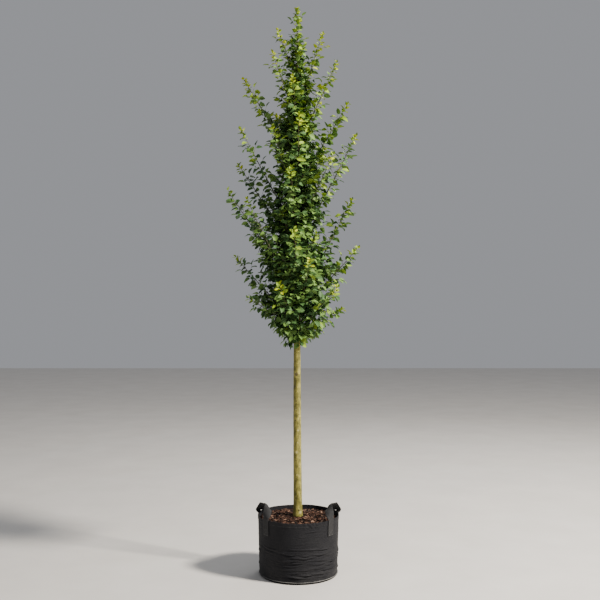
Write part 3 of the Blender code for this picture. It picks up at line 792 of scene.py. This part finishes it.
def chipShapes():  # a few split pieces of bark: bevelled slabs with skewed ends
    shapes = []
    vary = random.Random(soil["seed"]).uniform
    for _ in range(soil["chipShapes"]):
        bpy.ops.mesh.primitive_cube_add(size=1)
        chip = justAdded("chip")
        with editing(chip):
            bpy.ops.mesh.bevel(offset=vary(0.12, 0.22), segments=1, affect="EDGES")
        points = pointsOf(chip)
        points[:, 1] += vary(-0.35, 0.35) * points[:, 0]
        points[:, 0] *= 1 - vary(0.1, 0.6) * (points[:, 1] > 0.2)
        points[:, 2] += vary(-0.5, 0.5) * points[:, 1]**2
        jolt = np.array([[vary(-0.08, 0.08) for _ in range(3)] for _ in points])
        setPoints(chip, points + jolt)
        shapes.append(takeShape(chip))
    return shapes


def makeChips(paints):
    draw = random.Random(soil["seed"] + 1)
    vary = draw.uniform
    shapes = chipShapes()
    heaps = [Heap() for _ in paints]
    reach = bagRadius(bag["height"] - soil["edgeBelowRim"]) - bag["cloth"] - soil["chipsClear"]
    shortest, longer = soil["chipLength"]
    for small, count, steep, weights in soil["bark"]:
        for _ in range(count):
            length = vary(*soil["crumbLength"]) if small else shortest + longer * draw.random()**2
            width = length * vary(0.35, 0.8)
            thick = min(width * vary(0.3, 0.6), soil["thickest"])
            away = math.sqrt(vary(0.0, 1.0)) * (reach - length * 0.45)
            if away < trunkRadius(trunk["foot"]) + length * 0.5:
                continue
            turn = vary(0, math.tau)
            x, y = away * math.cos(turn), away * math.sin(turn)
            sit = 0.35 if small else vary(0.25, 1.3)
            root = Vector((x, y, soilHeight(away) + soilLumps(x, y) + thick * sit))
            up = Vector((vary(-steep, steep), vary(-steep, steep), 1)).normalized()
            side = compassWay(vary(0, math.tau)).cross(up).normalized()
            shape = draw.choice(shapes)
            heap = draw.choices(heaps, weights)[0]
            heap.put(shape, np.array([width, length, thick]), (side, up.cross(side), up), root)
    for heap, paint, tone in zip(heaps, paints, barkTones):
        dress(heap.makeObject("barkChips" + tone), 35, paint, ["soil"])


def makeSoilMaterials():
    stops = [(0.3, (0.007, 0.0035, 0.0025)), (0.55, (0.020, 0.0095, 0.0060)),
             (0.8, (0.056, 0.028, 0.018))]
    bed = mottledPaint("damp soil", {"Roughness": 0.95, "Specular IOR Level": 0.2}, (0.02, 0.002, 0.6),
                       stops, relief=(0.8, 0.002))
    chips = []
    for name, tone in barkTones.items():
        values = {"Base Color": (*tone, 1.0), "Specular IOR Level": 0.18}
        chips.append(mottledPaint(name.lower() + " bark chip", values, (0.006, 0.0009, 0.5),
                                  gloss=(0.72, 0.98), relief=(0.5, 0.0008)))
    return bed, chips


# Trunk and shoots, by the rule that the solids follow

trunk = {
    "foot": 0.3223,
    "tip": 2.90,
    "buttRadius": 0.0243,
    "tipRadius": 0.0048,
    "taperPower": 1.35,
    "flareOut": 0.0045,
    "flareHeight": 0.05,
    "footX": -0.003,
    "lean": -0.006,
    "sway": 0.003,
    "sides": 36,
    "rings": 420,
    "voxel": 0.0023,
    "relief": [(0.05, 0.0016), (0.012, 0.00072)],  # size and depth
    "scarWide": 0.9,
    "scarDeep": 0.42,
}

crown = {
    "top": 3.221,
    "boughShare": 0.17,
    "spread": 0.48,
    "bend": 0.45,
    "longest": 0.70,
    "boughRadius": 0.0085,
    "stemRadius": 0.0058,
    "stemTipRadius": 0.0011,
    "endsShortOfTip": 0.019,  # the rest is its last leaf
}

# Each shoot's height on the trunk, compass angle, reach from the trunk and height of its tip
boughShoots = [
    (1.335, 25, 0.300, 1.502), (1.360, 118, 0.280, 1.600), (1.395, 200, 0.300, 1.570),
    (1.375, -45, 0.325, 1.632), (1.385, -110, 0.295, 1.644), (1.420, 178, 0.360, 1.804),
    (1.430, 68, 0.320, 1.790), (1.445, -76, 0.300, 1.772), (1.480, -10, 0.355, 1.853),
    (1.520, 142, 0.345, 2.030), (1.540, 22, 0.345, 2.144), (1.560, 215, 0.345, 2.110),
    (1.580, -93, 0.300, 1.934), (1.620, 184, 0.404, 2.180), (1.750, 98, 0.315, 2.220),
    (1.860, -6, 0.338, 2.489),
]
trunkShoots = [
    (1.470, 225, 0.150, 1.720), (1.600, -45, 0.150, 1.930), (1.650, 60, 0.150, 1.960),
    (1.720, -125, 0.150, 2.060), (1.840, 165, 0.360, 2.338), (1.880, -98, 0.275, 2.276),
    (1.930, 190, 0.330, 2.523), (1.960, -48, 0.300, 2.355), (2.060, 58, 0.290, 2.460),
    (2.080, -125, 0.245, 2.505), (2.140, -88, 0.220, 2.566), (2.210, 12, 0.300, 2.688),
    (2.250, 122, 0.240, 2.650), (2.320, 174, 0.315, 2.823), (2.430, -20, 0.240, 2.891),
    (2.450, -100, 0.150, 2.800), (2.480, 80, 0.150, 2.880), (2.560, 205, 0.160, 2.956),
    (2.640, 12, 0.155, 3.088), (2.800, 190, 0.115, 3.091),
]


def trunkCentre(height):
    share = (height - trunk["foot"]) / (crown["top"] - trunk["foot"])
    sway = trunk["sway"] * math.sin(math.tau * share)
    return Vector((trunk["footX"] + trunk["lean"] * share - sway, sway, height))


def trunkRadius(height):
    share = min(1.0, (height - trunk["foot"]) / (trunk["tip"] - trunk["foot"]))
    taper = (trunk["buttRadius"] - trunk["tipRadius"]) * (1 - share ** trunk["taperPower"])
    flare = trunk["flareOut"] * math.exp(-(height - trunk["foot"]) / trunk["flareHeight"])
    return trunk["tipRadius"] + taper + flare


class Shoot:
    def __init__(self, row, bareShare):
        onTrunk, compass, self.reach, tipHeight = row
        self.bareShare = bareShare
        outward = compassWay(math.radians(compass))
        self.start = trunkCentre(onTrunk)
        leafTip = trunkCentre(tipHeight) + outward * self.reach
        self.tip = leafTip - (leafTip - self.start).normalized() * crown["endsShortOfTip"]
        rise = Vector((0, 0, (self.tip.z - self.start.z) * crown["bend"]))
        self.middle = self.start + outward * (self.reach * crown["spread"]) + rise
        self.length = (self.tip - self.start).length
        self.scale = min(1.0, self.length / crown["longest"])

    def at(self, share):
        back = 1 - share
        return self.start * (back * back) + self.middle * (2 * share * back) + self.tip * (share * share)

    def way(self, share):
        return ((self.middle - self.start) * (1 - share) + (self.tip - self.middle) * share).normalized()

    def stemRadius(self, share):  # along the whole stem, from its bough's end to its tip
        thick = crown["stemRadius"] * (0.45 + 0.55 * self.scale)
        along = max(0.0, (share - self.bareShare) / (1 - self.bareShare))
        return thick + (crown["stemTipRadius"] - thick) * along ** 0.8

    def boughRadius(self, share):
        thick = crown["boughRadius"] * (0.5 + 0.5 * self.scale)
        return thick + (self.stemRadius(self.bareShare) - thick) * share / self.bareShare


def allShoots():
    shoots = [Shoot(row, crown["boughShare"]) for row in boughShoots]
    leader = (trunk["tip"] - 0.02, 0, 0.0, crown["top"])
    return shoots + [Shoot(row, 0.0) for row in (*trunkShoots, leader)]


def limbMesh(name, sides, rings, centreAt, wayAt, radiusAt):  # a cylinder cut into rings, bent along a limb
    limb = addDrum(name, sides, 1, 0, 1)
    cutIntoRings(limb, rings)
    for point in limb.data.vertices:
        share = min(1.0, max(0.0, point.co.z))
        way = wayAt(share)
        side = (Vector((0, 1, 0)) - way * way.y).normalized()
        across = side.cross(way)
        point.co = centreAt(share) + (across * point.co.x + side * point.co.y) * radiusAt(share)
    return limb


scars = [  # healed branch stubs on the stem: height, angle from the front, size and how far it swells
    (1.130, -8, 0.0165, 0.0022), (1.062, -32, 0.0085, 0.0012), (0.978, -14, 0.0075, 0.0010),
    (0.902, 28, 0.0055, 0.0010), (0.868, -24, 0.0070, 0.0012), (0.640, -20, 0.0060, 0.0008),
    (0.362, 12, 0.0085, 0.0014), (1.205, 95, 0.0100, 0.0014), (0.760, 150, 0.0120, 0.0016),
    (1.010, -120, 0.0090, 0.0012), (0.545, 70, 0.0065, 0.0008), (0.470, -150, 0.0100, 0.0012),
]
paleMarks = [  # rubbed, lighter places: height, angle and size
    (0.688, -14, 0.0125), (0.560, -10, 0.0060), (0.812, 10, 0.0090), (0.742, 2, 0.0060),
    (0.350, 34, 0.0150), (0.930, -20, 0.0060), (1.020, 120, 0.0120), (0.600, -160, 0.0110),
]


def onBark(height, angle, out=0.0):
    return trunkCentre(height) + outFromBag(angle) * (trunkRadius(height) + out)


def makeScar(height, angle, size, swell):
    spot = onBark(height, angle, swell - size * trunk["scarDeep"])
    bpy.ops.mesh.primitive_uv_sphere_add(segments=16, ring_count=10, radius=size, location=spot)
    bump = justAdded("scarSwelling")
    radial = outFromBag(angle)
    for point in bump.data.vertices:  # flattened against the stem
        offset = point.co - spot
        deep = radial * offset.dot(radial)
        point.co = spot + (offset - deep) * trunk["scarWide"] + deep * trunk["scarDeep"]
    return bump


def makeBark(shoots, paint):
    tall = trunk["tip"] - trunk["foot"]
    whole = limbMesh("bark", trunk["sides"], trunk["rings"],
                     lambda share: trunkCentre(trunk["foot"] + tall * share),
                     lambda share: straightUp,
                     lambda share: trunkRadius(trunk["foot"] + tall * share))
    limbs = [whole]
    last = crown["boughShare"]
    for shoot in shoots[:len(boughShoots)]:
        limbs.append(limbMesh("boughBark", 16, 24,
                              lambda share: shoot.at(share * last),
                              lambda share: shoot.way(share * last),
                              lambda share: shoot.boughRadius(share * last)))
    limbs += [makeScar(*row) for row in scars]
    pickUp(whole)
    for limb in limbs:
        limb.select_set(True)
    bpy.ops.object.join()
    addModifier(whole, "REMESH", mode="VOXEL", voxel_size=trunk["voxel"])
    addModifier(whole, "SMOOTH", factor=0.5, iterations=6)
    for size, strength in trunk["relief"]:
        clouds = settle(bpy.data.textures.new("bark relief", "CLOUDS"), noise_scale=size)
        addModifier(whole, "DISPLACE", texture=clouds, texture_coords="LOCAL", mid_level=0.5,
                    strength=strength)
    applyModifiers(whole)
    points = pointsOf(whole)
    points[:, 2] = np.maximum(points[:, 2], trunk["foot"])  # the flat cut at the soil
    setPoints(whole, points)
    boughs = [f"bough_{k:02d}" for k in range(1, len(boughShoots) + 1)]
    dress(whole, 80, paint, ["trunk", *boughs])


def makeBarkMaterial():
    paint, tree, shader = newMaterial("olive bark", {"Specular IOR Level": 0.25})
    blotch = useMottle(tree, 0.020, 0.0034, 0.42, 1.8)
    shown = rampOf(tree, blotch["Mask"], [
        (0.34, (0.046, 0.042, 0.009)), (0.45, (0.135, 0.124, 0.025)),
        (0.55, (0.262, 0.236, 0.054)), (0.68, (0.490, 0.415, 0.128)),
    ])
    flat = addNode(tree, "Mapping", {"Vector": objectPlace(tree), "Scale": (1.0, 1.0, 3.2)})
    pores = addNode(tree, "TexVoronoi", {"Vector": flat.outputs[0], "Scale": 115.0, "Randomness": 1.0})
    dots = remap(tree, pores.outputs["Distance"], 0.10, 0.30, 1.0, 0.0)
    few = addNode(tree, "SeparateColor", {0: pores.outputs["Color"]}).outputs[0]
    lenticels = calculate(tree, "MULTIPLY", dots, calculate(tree, "GREATER_THAN", few, 0.55))

    def spotsOf(rows, ragged):  # the brightest of many spots
        total = 0.0
        for height, angle, size, *_ in rows:
            spot = useGroup(tree, spotGroup, {"Centre": onBark(height, angle), "Size": size,
                                              "Ragged": ragged})
            total = calculate(tree, "MAXIMUM", total, spot["Mask"])
        return total

    for mask, tone, share in ((lenticels, (0.115, 0.095, 0.048), 0.6),
                              (spotsOf(paleMarks, 0.9), (0.56, 0.51, 0.25), 0.50),
                              (spotsOf(scars, 0.75), (0.055, 0.042, 0.018), 0.88)):
        shown = mixColours(tree, calculate(tree, "MULTIPLY", mask, share), shown, (*tone, 1.0))
    height = calculate(tree, "MULTIPLY_ADD", lenticels, 0.8, blotch["Fine"])
    feed(shader, {"Base Color": shown, "Roughness": spread(tree, blotch["Fine"], 0.50, 0.78),
                  "Normal": addBump(tree, height, 0.5, 0.0009)})
    return paint


# Leaves: short-stalked ovals with a pleated, wavy blade, at life size

leaf = {
    "length": 0.052,
    "width": 0.0305,
    "stalk": 0.008,
    "rows": 7,
    "columns": 4,
    "outline": (0.62, 0.86),  # powers that shape its foot and its tip
    "pleat": 0.010,  # as shares of the blade's length, as the next three are
    "fold": 0.10,
    "droop": 0.16,
    "wave": 0.022,
    "shapes": 5,
}


def leafShape(vary):  # a unit long, from the foot of its stalk at the origin along +Y, facing +Z
    bpy.ops.mesh.primitive_grid_add(x_subdivisions=leaf["columns"], y_subdivisions=leaf["rows"], size=1)
    blade = justAdded("leafBlade")
    points = pointsOf(blade)
    across = points[:, 0] * 2
    share = points[:, 1] + 0.5
    foot, tip = leaf["outline"]
    outline = (share + 1e-6) ** foot * (1 - share + 1e-6) ** tip
    outline = outline / (0.4189**foot * 0.5811**tip)  # 1 where it is widest
    outline[(share < 1e-4) | (share > 1 - 1e-4)] = 0.0
    half = leaf["width"] / leaf["length"] / 2 * outline
    stalk = leaf["stalk"] / leaf["length"]
    row = np.rint(share * leaf["rows"])
    pleat = leaf["pleat"] * np.where(row % 2 == 0, 1, -1) * (np.abs(across) > 0.2) * (outline > 0.3)
    bend = vary(0.6, 1.5) * leaf["droop"]
    cup = vary(0.5, 1.4) * leaf["fold"]
    wave = leaf["wave"] * np.sin(share * vary(9, 13) + vary(0, 6) + across)
    x = across * half + vary(-0.05, 0.05) * share**2
    y = stalk + share * (1 - stalk) - 0.04 * share**2
    z = np.abs(across)**1.3 * cup * outline - bend * share**2 + pleat + wave * np.abs(across) * outline
    setPoints(blade, np.column_stack([x, y, z]))
    with editing(blade):
        bpy.ops.mesh.remove_doubles(threshold=0.0005)
    bpy.ops.mesh.primitive_cone_add(vertices=3, radius1=0.020, radius2=0.012, depth=stalk * 1.35,
                                    rotation=(-math.pi / 2, 0, 0), location=(0, stalk * 0.62, -0.004))
    stem = justAdded("leafStalk")
    pickUp(blade)
    stem.select_set(True)
    bpy.ops.object.join()
    return takeShape(blade)


# Growth: finer twigs and leaves than the solids have, within the same reach

growth = {
    "seed": 23,
    "stemTwigStep": 0.025,
    "stemTwig": 0.038,  # its length where the dense middle of the crown has ended
    "leaderTwig": 0.012,
    "intoCore": 0.62,  # how much of its way out to the edge of that middle it goes
    "lastTwig": 0.014,
    "taper": 0.3,  # how much longer, as a share of the stem, the twigs may be at its foot
    "bareTip": 0.14,
    "shortestTwig": 0.018,
    "trunkTwigFoot": 1.305,
    "trunkTwigStep": 0.016,
    "denser": 0.27,  # share of that step, in the skirt and the spire
    "skirtTop": 1.40,
    "spireFoot": 2.42,
    "leafStep": 0.0175,
    "stemLeafStep": 0.014,
    "youngLength": 0.11,
    "tipLeaves": 7,
    "tipLength": 0.050,
    "smallerAtTop": 0.22,
    "finerFrom": 0.055,
    "finerStep": 0.030,
    "twigRadius": 0.0016,
    "twigTipRadius": 0.0007,
    "lift": 0.30,
    "goldenAngle": 137.5,
    "cell": 0.0125,
    "clear": 0.0015,
    "insideBox": 0.002,
}

# How far the dense middle of the crown reaches from the trunk, by height
coreHeights = [1.285, 1.34, 1.40, 1.46, 1.52, 1.62, 1.72, 1.84, 1.96, 2.08, 2.24, 2.42, 2.56, 2.70,
               2.84, 2.94, 3.06, 3.16, 3.22]
coreReaches = [0.020, 0.070, 0.130, 0.180, 0.200, 0.205, 0.195, 0.180, 0.165, 0.145, 0.130, 0.120, 0.105,
               0.088, 0.078, 0.068, 0.046, 0.026, 0.000]

leafTones = {
    "Deep": (0.0250, 0.062, 0.0200),
    "Dark": (0.0560, 0.122, 0.0360),
    "Mid": (0.1120, 0.205, 0.0420),
    "Light": (0.2100, 0.315, 0.0280),
    "Young": (0.3700, 0.440, 0.0200),
}
# Painted light and shade on the leaves: leaves deep in the crown are dealt darker tones, and leaves far out,
# on the key light's side and high up, lighter ones. Young leaves and strays differ in their own colour.
lighter = {  # how many tones lighter a leaf is for each of these
    "all": 1.02,
    "out": 0.85,
    "paintedSunlit": 0.70,
    "high": 1.1,
    "young": 1.2,
    "stray": 0.95,
}
# where the painted sunlight on the leaves comes from, roughly the way of the key light
sunWay = Vector((0.72, -0.18, 0.68)).normalized()


def coreReach(height):
    return float(np.interp(height, coreHeights, coreReaches))


def turnedBy(angle, along, side):
    return Matrix.Rotation(angle, 3, along) @ side.normalized()


class Crown:
    def __init__(self, shoots):
        self.shoots = shoots
        self.draw = random.Random(growth["seed"])
        self.wood = Heap()
        self.leaves = [Heap() for _ in leafTones]
        self.taken = set()
        self.shapes = [leafShape(self.draw.uniform) for _ in range(leaf["shapes"])]
        self.findLimbs()
        margin = Vector((growth["insideBox"], growth["insideBox"], 0))
        self.low, self.high = cadLow + margin, cadHigh - margin

    def findLimbs(self):
        limbs = [(trunkCentre(height), trunkRadius(height))
                 for height in np.arange(1.2, trunk["tip"], 0.008).tolist()]
        for shoot in self.shoots[:len(boughShoots)]:
            for share in np.linspace(0, shoot.bareShare, 14).tolist():
                limbs.append((shoot.at(share), shoot.boughRadius(share)))
        self.limbs, self.limbRadii = (np.array(values) for values in zip(*limbs))

    def isClear(self, points):
        away = np.linalg.norm(np.array(points)[:, None] - self.limbs[None], axis=2)
        return bool((away > self.limbRadii + growth["clear"]).all())

    def isInside(self, point):
        return all(self.low[k] < point[k] < self.high[k] for k in range(3))

    def addTube(self, points, radii, sides):
        way = (points[-1] - points[0]).normalized()
        side = way.orthogonal().normalized()
        across = way.cross(side)
        turns = [math.tau * k / sides for k in range(sides)]
        ring = [side * math.cos(turn) + across * math.sin(turn) for turn in turns]
        corners = np.array([p + spoke * r for p, r in zip(points, radii) for spoke in ring])
        triangles = []
        for k in range(len(points) - 1):
            for s in range(sides):
                a, b = k * sides + s, k * sides + (s + 1) % sides
                triangles += [(a, b, b + sides), (a, b + sides, a + sides)]
        last = (len(points) - 1) * sides
        for s in range(1, sides - 1):
            triangles += [(0, s + 1, s), (last, last + s, last + s + 1)]
        self.wood.add(corners, np.array(triangles))

    def heapAt(self, place, youth):
        # painted shade deep in the crown, painted sunlight on the outer leaves towards the key light and
        # high up; young leaves are paler in their own colour
        away = place - trunkCentre(min(place.z, crown["top"]))
        outness = min(1.0, Vector((away.x, away.y, 0)).length / (coreReach(place.z) + 0.03))
        paintedSunlit = 0.5 + 0.5 * Vector((away.x, away.y, 0.03)).normalized().dot(sunWay)
        high = eased((place.z - 2.1) / 1.0)
        tone = lighter["all"] + lighter["out"] * outness + lighter["paintedSunlit"] * outness * paintedSunlit
        tone += lighter["high"] * high + lighter["young"] * youth
        tone += self.draw.uniform(-lighter["stray"], lighter["stray"])
        return self.leaves[max(0, min(len(self.leaves) - 1, int(tone)))]

    def putLeaf(self, root, ahead, face, size, youth=0.0, crowded=False):
        side, ahead, up = threeWays(ahead, face)
        size *= 1 - growth["smallerAtTop"] * eased((root.z - 2.45) / 0.65)
        length = leaf["length"] * size
        tip = root + ahead * length * 0.96 - up * length * leaf["droop"]
        middle = root + ahead * length * 0.5
        half = side * leaf["width"] * size * 0.45
        if not self.isInside(tip) or not self.isClear([tip, middle, middle + half, middle - half]):
            return False
        cell = tuple(int(math.floor(v / growth["cell"])) for v in middle)
        if cell in self.taken and not crowded:
            return False
        self.taken.add(cell)
        shape = self.draw.choice(self.shapes)
        self.heapAt(middle, youth).put(shape, length, (side, ahead, up), root)
        return True

    def putSideLeaf(self, place, along, sign, size, youth, sag, roll):
        vary = self.draw.uniform
        outward = Vector((place.x, place.y, 0))
        outward = outward.normalized() if outward.length > 1e-4 else Vector((1, 0, 0))
        flat = along.cross(straightUp)
        if flat.length < 0.2:  # an upright stem has its leaves all round
            flat, roll = along.orthogonal(), math.pi
        flat = turnedBy(vary(-roll, roll), along, flat)
        for attempt in range(4):
            stray = Vector([vary(-1, 1) for _ in range(3)]) * (0.18 + 0.22 * attempt)
            ahead = along * vary(0.25, 0.75) + flat * sign - straightUp * sag + stray
            turn = vary(0, math.tau)
            face = straightUp * 0.60 + outward * vary(0.1, 0.7) + compassWay(turn) * 0.65
            if self.putLeaf(place, ahead, face, size * (1 - 0.06 * attempt), youth):
                return

    def growTwig(self, root, way, length, thick, order):
        vary = self.draw.uniform
        lift = growth["lift"] * vary(0.4, 1.2)

        def at(share):
            return root + way * (length * share) + straightUp * (length * lift * share * share)

        def wayAt(share, step=0.02):
            return (at(share + step) - at(share)).normalized()

        if not self.isInside(at(1.0)):
            return
        shares = (0.0, 0.5, 1.0) if order > 1 else (0.0, 0.3, 0.65, 1.0)
        radii = [thick + (growth["twigTipRadius"] - thick) * share for share in shares]
        self.addTube([at(share) for share in shares], radii, 3 if order > 1 else 4)
        sag = vary(0.10, 0.50) + 0.55 * eased((1.55 - root.z) / 0.25)
        count = max(1, round(length / growth["leafStep"]))
        for k in range(count):
            share = (k + 0.8) / (count + 0.3)
            size = vary(0.80, 1.12)
            self.putSideLeaf(at(share), wayAt(share), 1 if k % 2 else -1, size, 0.0, sag, 0.6)
        along = (at(1.0) - at(0.95)).normalized()
        face = straightUp + Vector((root.x, root.y, 0)) * 3
        self.putLeaf(at(1.0), along - straightUp * sag, face, vary(0.8, 1.05))
        finer = int(length / growth["finerStep"]) if order < 2 and length > growth["finerFrom"] else 0
        for k in range(finer):
            share = (k + 0.9) / (finer + 0.6)
            along = wayAt(share)
            flat = along.cross(straightUp).normalized() * (1 if k % 2 else -1)
            turned = Matrix.Rotation(vary(-1.2, 1.2), 3, along) @ flat
            finerLength = length * vary(0.35, 0.6) * (1.15 - 0.5 * share)
            self.growTwig(at(share), (along * 0.75 + turned).normalized(), finerLength, thick * 0.65,
                          order + 1)

    def growShoot(self, shoot):
        first = shoot.bareShare * 0.9
        shares = [first + (1 - first) * k / 14 for k in range(15)]
        self.addTube([shoot.at(s) for s in shares], [shoot.stemRadius(s) for s in shares], 6)
        stemLength = shoot.length * (1 - first)
        self.growStemTwigs(shoot, first, stemLength)
        self.growStemLeaves(shoot, first, stemLength)
        self.growTip(shoot)

    def growStemTwigs(self, shoot, first, stemLength):
        vary = self.draw.uniform
        compass = vary(0, 360)
        count = int(stemLength / growth["stemTwigStep"])
        for k in range(count):
            share = first + (1 - first) * (k + 0.5) / count
            place, along = shoot.at(share), shoot.way(share)
            compass += growth["goldenAngle"]
            side = turnedBy(math.radians(compass), along, along.orthogonal())
            inside = coreReach(place.z) - (place - trunkCentre(min(place.z, crown["top"]))).length
            toTip = (1 - share) / (1 - first)
            length = growth["stemTwig" if shoot.reach else "leaderTwig"]
            length += max(0.0, inside) * growth["intoCore"]
            length = min(length, growth["lastTwig"] + toTip * stemLength * growth["taper"])
            length *= vary(0.6, 1.25)
            if toTip > growth["bareTip"] and length > growth["shortestTwig"]:
                self.growTwig(place, (along * 0.62 + side).normalized(), length, growth["twigRadius"], 1)

    def growStemLeaves(self, shoot, first, stemLength):
        youngLength = growth["youngLength"] * (1.0 if shoot.reach else 2.6)
        smaller, dense = (0.42, 0.40) if shoot.reach else (0.12, 0.60)
        walked, sign = growth["stemLeafStep"], 1
        while walked < stemLength - 0.006:
            young = eased((walked - stemLength + youngLength) / youngLength)
            share = first + (1 - first) * walked / stemLength
            size = self.draw.uniform(0.78, 1.04) * (1 - smaller * young)
            place = shoot.at(share)
            self.putSideLeaf(place, shoot.way(share), sign, size, young, 0.32 - 0.45 * young, 1.1)
            high = eased((place.z - 2.35) / 0.4)
            walked += growth["stemLeafStep"] * (1 - 0.35 * young) * (1 - dense * high)
            sign = -sign

    def growTip(self, shoot):  # half-open leaves that spiral up to the bud
        vary = self.draw.uniform
        turn = vary(0, 360)
        for k in range(growth["tipLeaves"]):
            part = k / (growth["tipLeaves"] - 1)
            share = 1 - (1 - part) * growth["tipLength"] / shoot.length
            along = shoot.way(share)
            turn += growth["goldenAngle"]
            side = turnedBy(math.radians(turn), along, along.orthogonal())
            ahead = along * (0.40 + 0.65 * part) + side
            size = vary(0.72, 0.88) * (1 - 0.25 * part)
            self.putLeaf(shoot.at(share), ahead, along - side * 0.5, size, 1.0, crowded=True)
        along = shoot.way(1.0)
        self.putLeaf(shoot.at(1.0), along, along.orthogonal(), 0.5, 1.0, crowded=True)

    def growTrunkTwigs(self):  # short twigs that clothe the trunk inside the crown
        vary = self.draw.uniform
        compass = 0.0
        height = growth["trunkTwigFoot"]
        while height < trunk["tip"] + 0.12:
            compass += growth["goldenAngle"]
            outward = compassWay(math.radians(compass + vary(-20, 20)))
            rise = vary(0.35, 0.95)
            length = max(growth["shortestTwig"],
                         (coreReach(height + 0.05) - 0.035) * vary(0.7, 1.05))
            if height < growth["skirtTop"]:
                rise = vary(-0.2, 0.5)
                length *= vary(0.7, 1.2)
            start = trunkCentre(height) + outward * trunkRadius(height) * 0.7
            way = (outward + straightUp * rise).normalized()
            self.growTwig(start, way, length, growth["twigRadius"] * 1.2, 1)
            dense = height < growth["skirtTop"] or height > growth["spireFoot"]
            height += growth["trunkTwigStep"] * (growth["denser"] if dense else 1.0)


def makeCrown(shoots, woodPaint, leafPaints):
    tree = Crown(shoots)
    for shoot in shoots:
        tree.growShoot(shoot)
    tree.growTrunkTwigs()
    masses = [f"foliage_{k:02d}" for k in range(1, len(boughShoots) + len(trunkShoots) + 1)]
    masses.append("foliage_top")
    dress(tree.wood.makeObject("twigs"), 70, woodPaint, masses)
    for heap, paint, tone in zip(tree.leaves, leafPaints, leafTones):
        dress(heap.makeObject("leaves" + tone), 75, paint, masses)
    print("crown grown:", sum(len(heap.points) for heap in tree.leaves), "leaves")


def makeLeafMaterials():
    paints = []
    for name, colour in leafTones.items():
        values = {"Base Color": (*colour, 1.0),
                  "Specular IOR Level": 0.16 if name in ("Light", "Young") else 0.22}
        paints.append(mottledPaint("leaf " + name.lower(), values, (0.05, 0.006, 0.5), gloss=(0.40, 0.72)))
    return paints


def makeTwigMaterial():
    return mottledPaint("young bark", {"Base Color": (0.062, 0.058, 0.022, 1.0)}, (0.02, 0.002, 0.4, 3.0),
                        gloss=(0.45, 0.80))


# Studio: a pale floor, a high warm key from the right front, a weak fill and a light behind

studio = {
    "cameraPlace": (0.009, -5.0, 1.55),
    "lens": 52.8,
    "sensor": 36.0,
    "farEnd": 100,
    "floorSize": 30.0,
    "world": (0.92, 0.94, 1.0, 1.0),
    "worldStrength": 0.34,
    "lights": [  # name, place, aim, size, power and colour
        ("key", (5.0, -2.5, 5.4), (0, 0, 1.5), 1.0, 1500, (1.0, 0.93, 0.83)),
        ("fill", (-4.5, -4.0, 3.0), (0, 0, 1.4), 3.5, 12, (1.0, 1.0, 1.0)),
        ("back", (1.8, 4.2, 4.6), (0, 0, 1.8), 2.2, 90, (1.0, 1.0, 1.0)),
    ],
}


def makeStudio():
    bpy.ops.object.camera_add(location=studio["cameraPlace"], rotation=(math.pi / 2, 0, 0))
    camera = settle(bpy.context.object, name="camera")
    settle(camera.data, lens=studio["lens"], sensor_width=studio["sensor"], clip_end=studio["farEnd"])
    bpy.context.scene.camera = camera
    for name, place, aim, size, power, colour in studio["lights"]:
        turn = (Vector(aim) - Vector(place)).to_track_quat("-Z", "Y").to_euler()
        bpy.ops.object.light_add(type="AREA", location=place, rotation=turn)
        light = settle(bpy.context.object, name=name)
        settle(light.data, size=size, energy=power, color=colour)
    world = bpy.data.worlds.new("studio air")
    world.use_nodes = True
    feed(world.node_tree.nodes["Background"], {"Color": studio["world"],
                                               "Strength": studio["worldStrength"]})
    bpy.context.scene.world = world
    bpy.ops.mesh.primitive_plane_add(size=studio["floorSize"])
    floor = justAdded("floor")
    stops = [(0.3, (0.60, 0.58, 0.55)), (0.7, (0.68, 0.66, 0.63))]
    floor.data.materials.append(mottledPaint("pale floor", {"Roughness": 0.9}, (0.4, 0.01, 0.3), stops))


makeStudio()
print("studio set")

feltPaint, footPaint, strapPaint, threadPaints = makeBagMaterials()
makeBagWall(feltPaint)
makeBagFoot(footPaint)
makeStraps(strapPaint, *threadPaints)
print("planting bag sewn")

soilPaint, chipPaints = makeSoilMaterials()
makeSoil(soilPaint)
makeChips(chipPaints)
print("soil filled and mulched")

plantShoots = allShoots()
makeBark(plantShoots, makeBarkMaterial())
print("trunk and boughs grown")

makeCrown(plantShoots, makeTwigMaterial(), makeLeafMaterials())
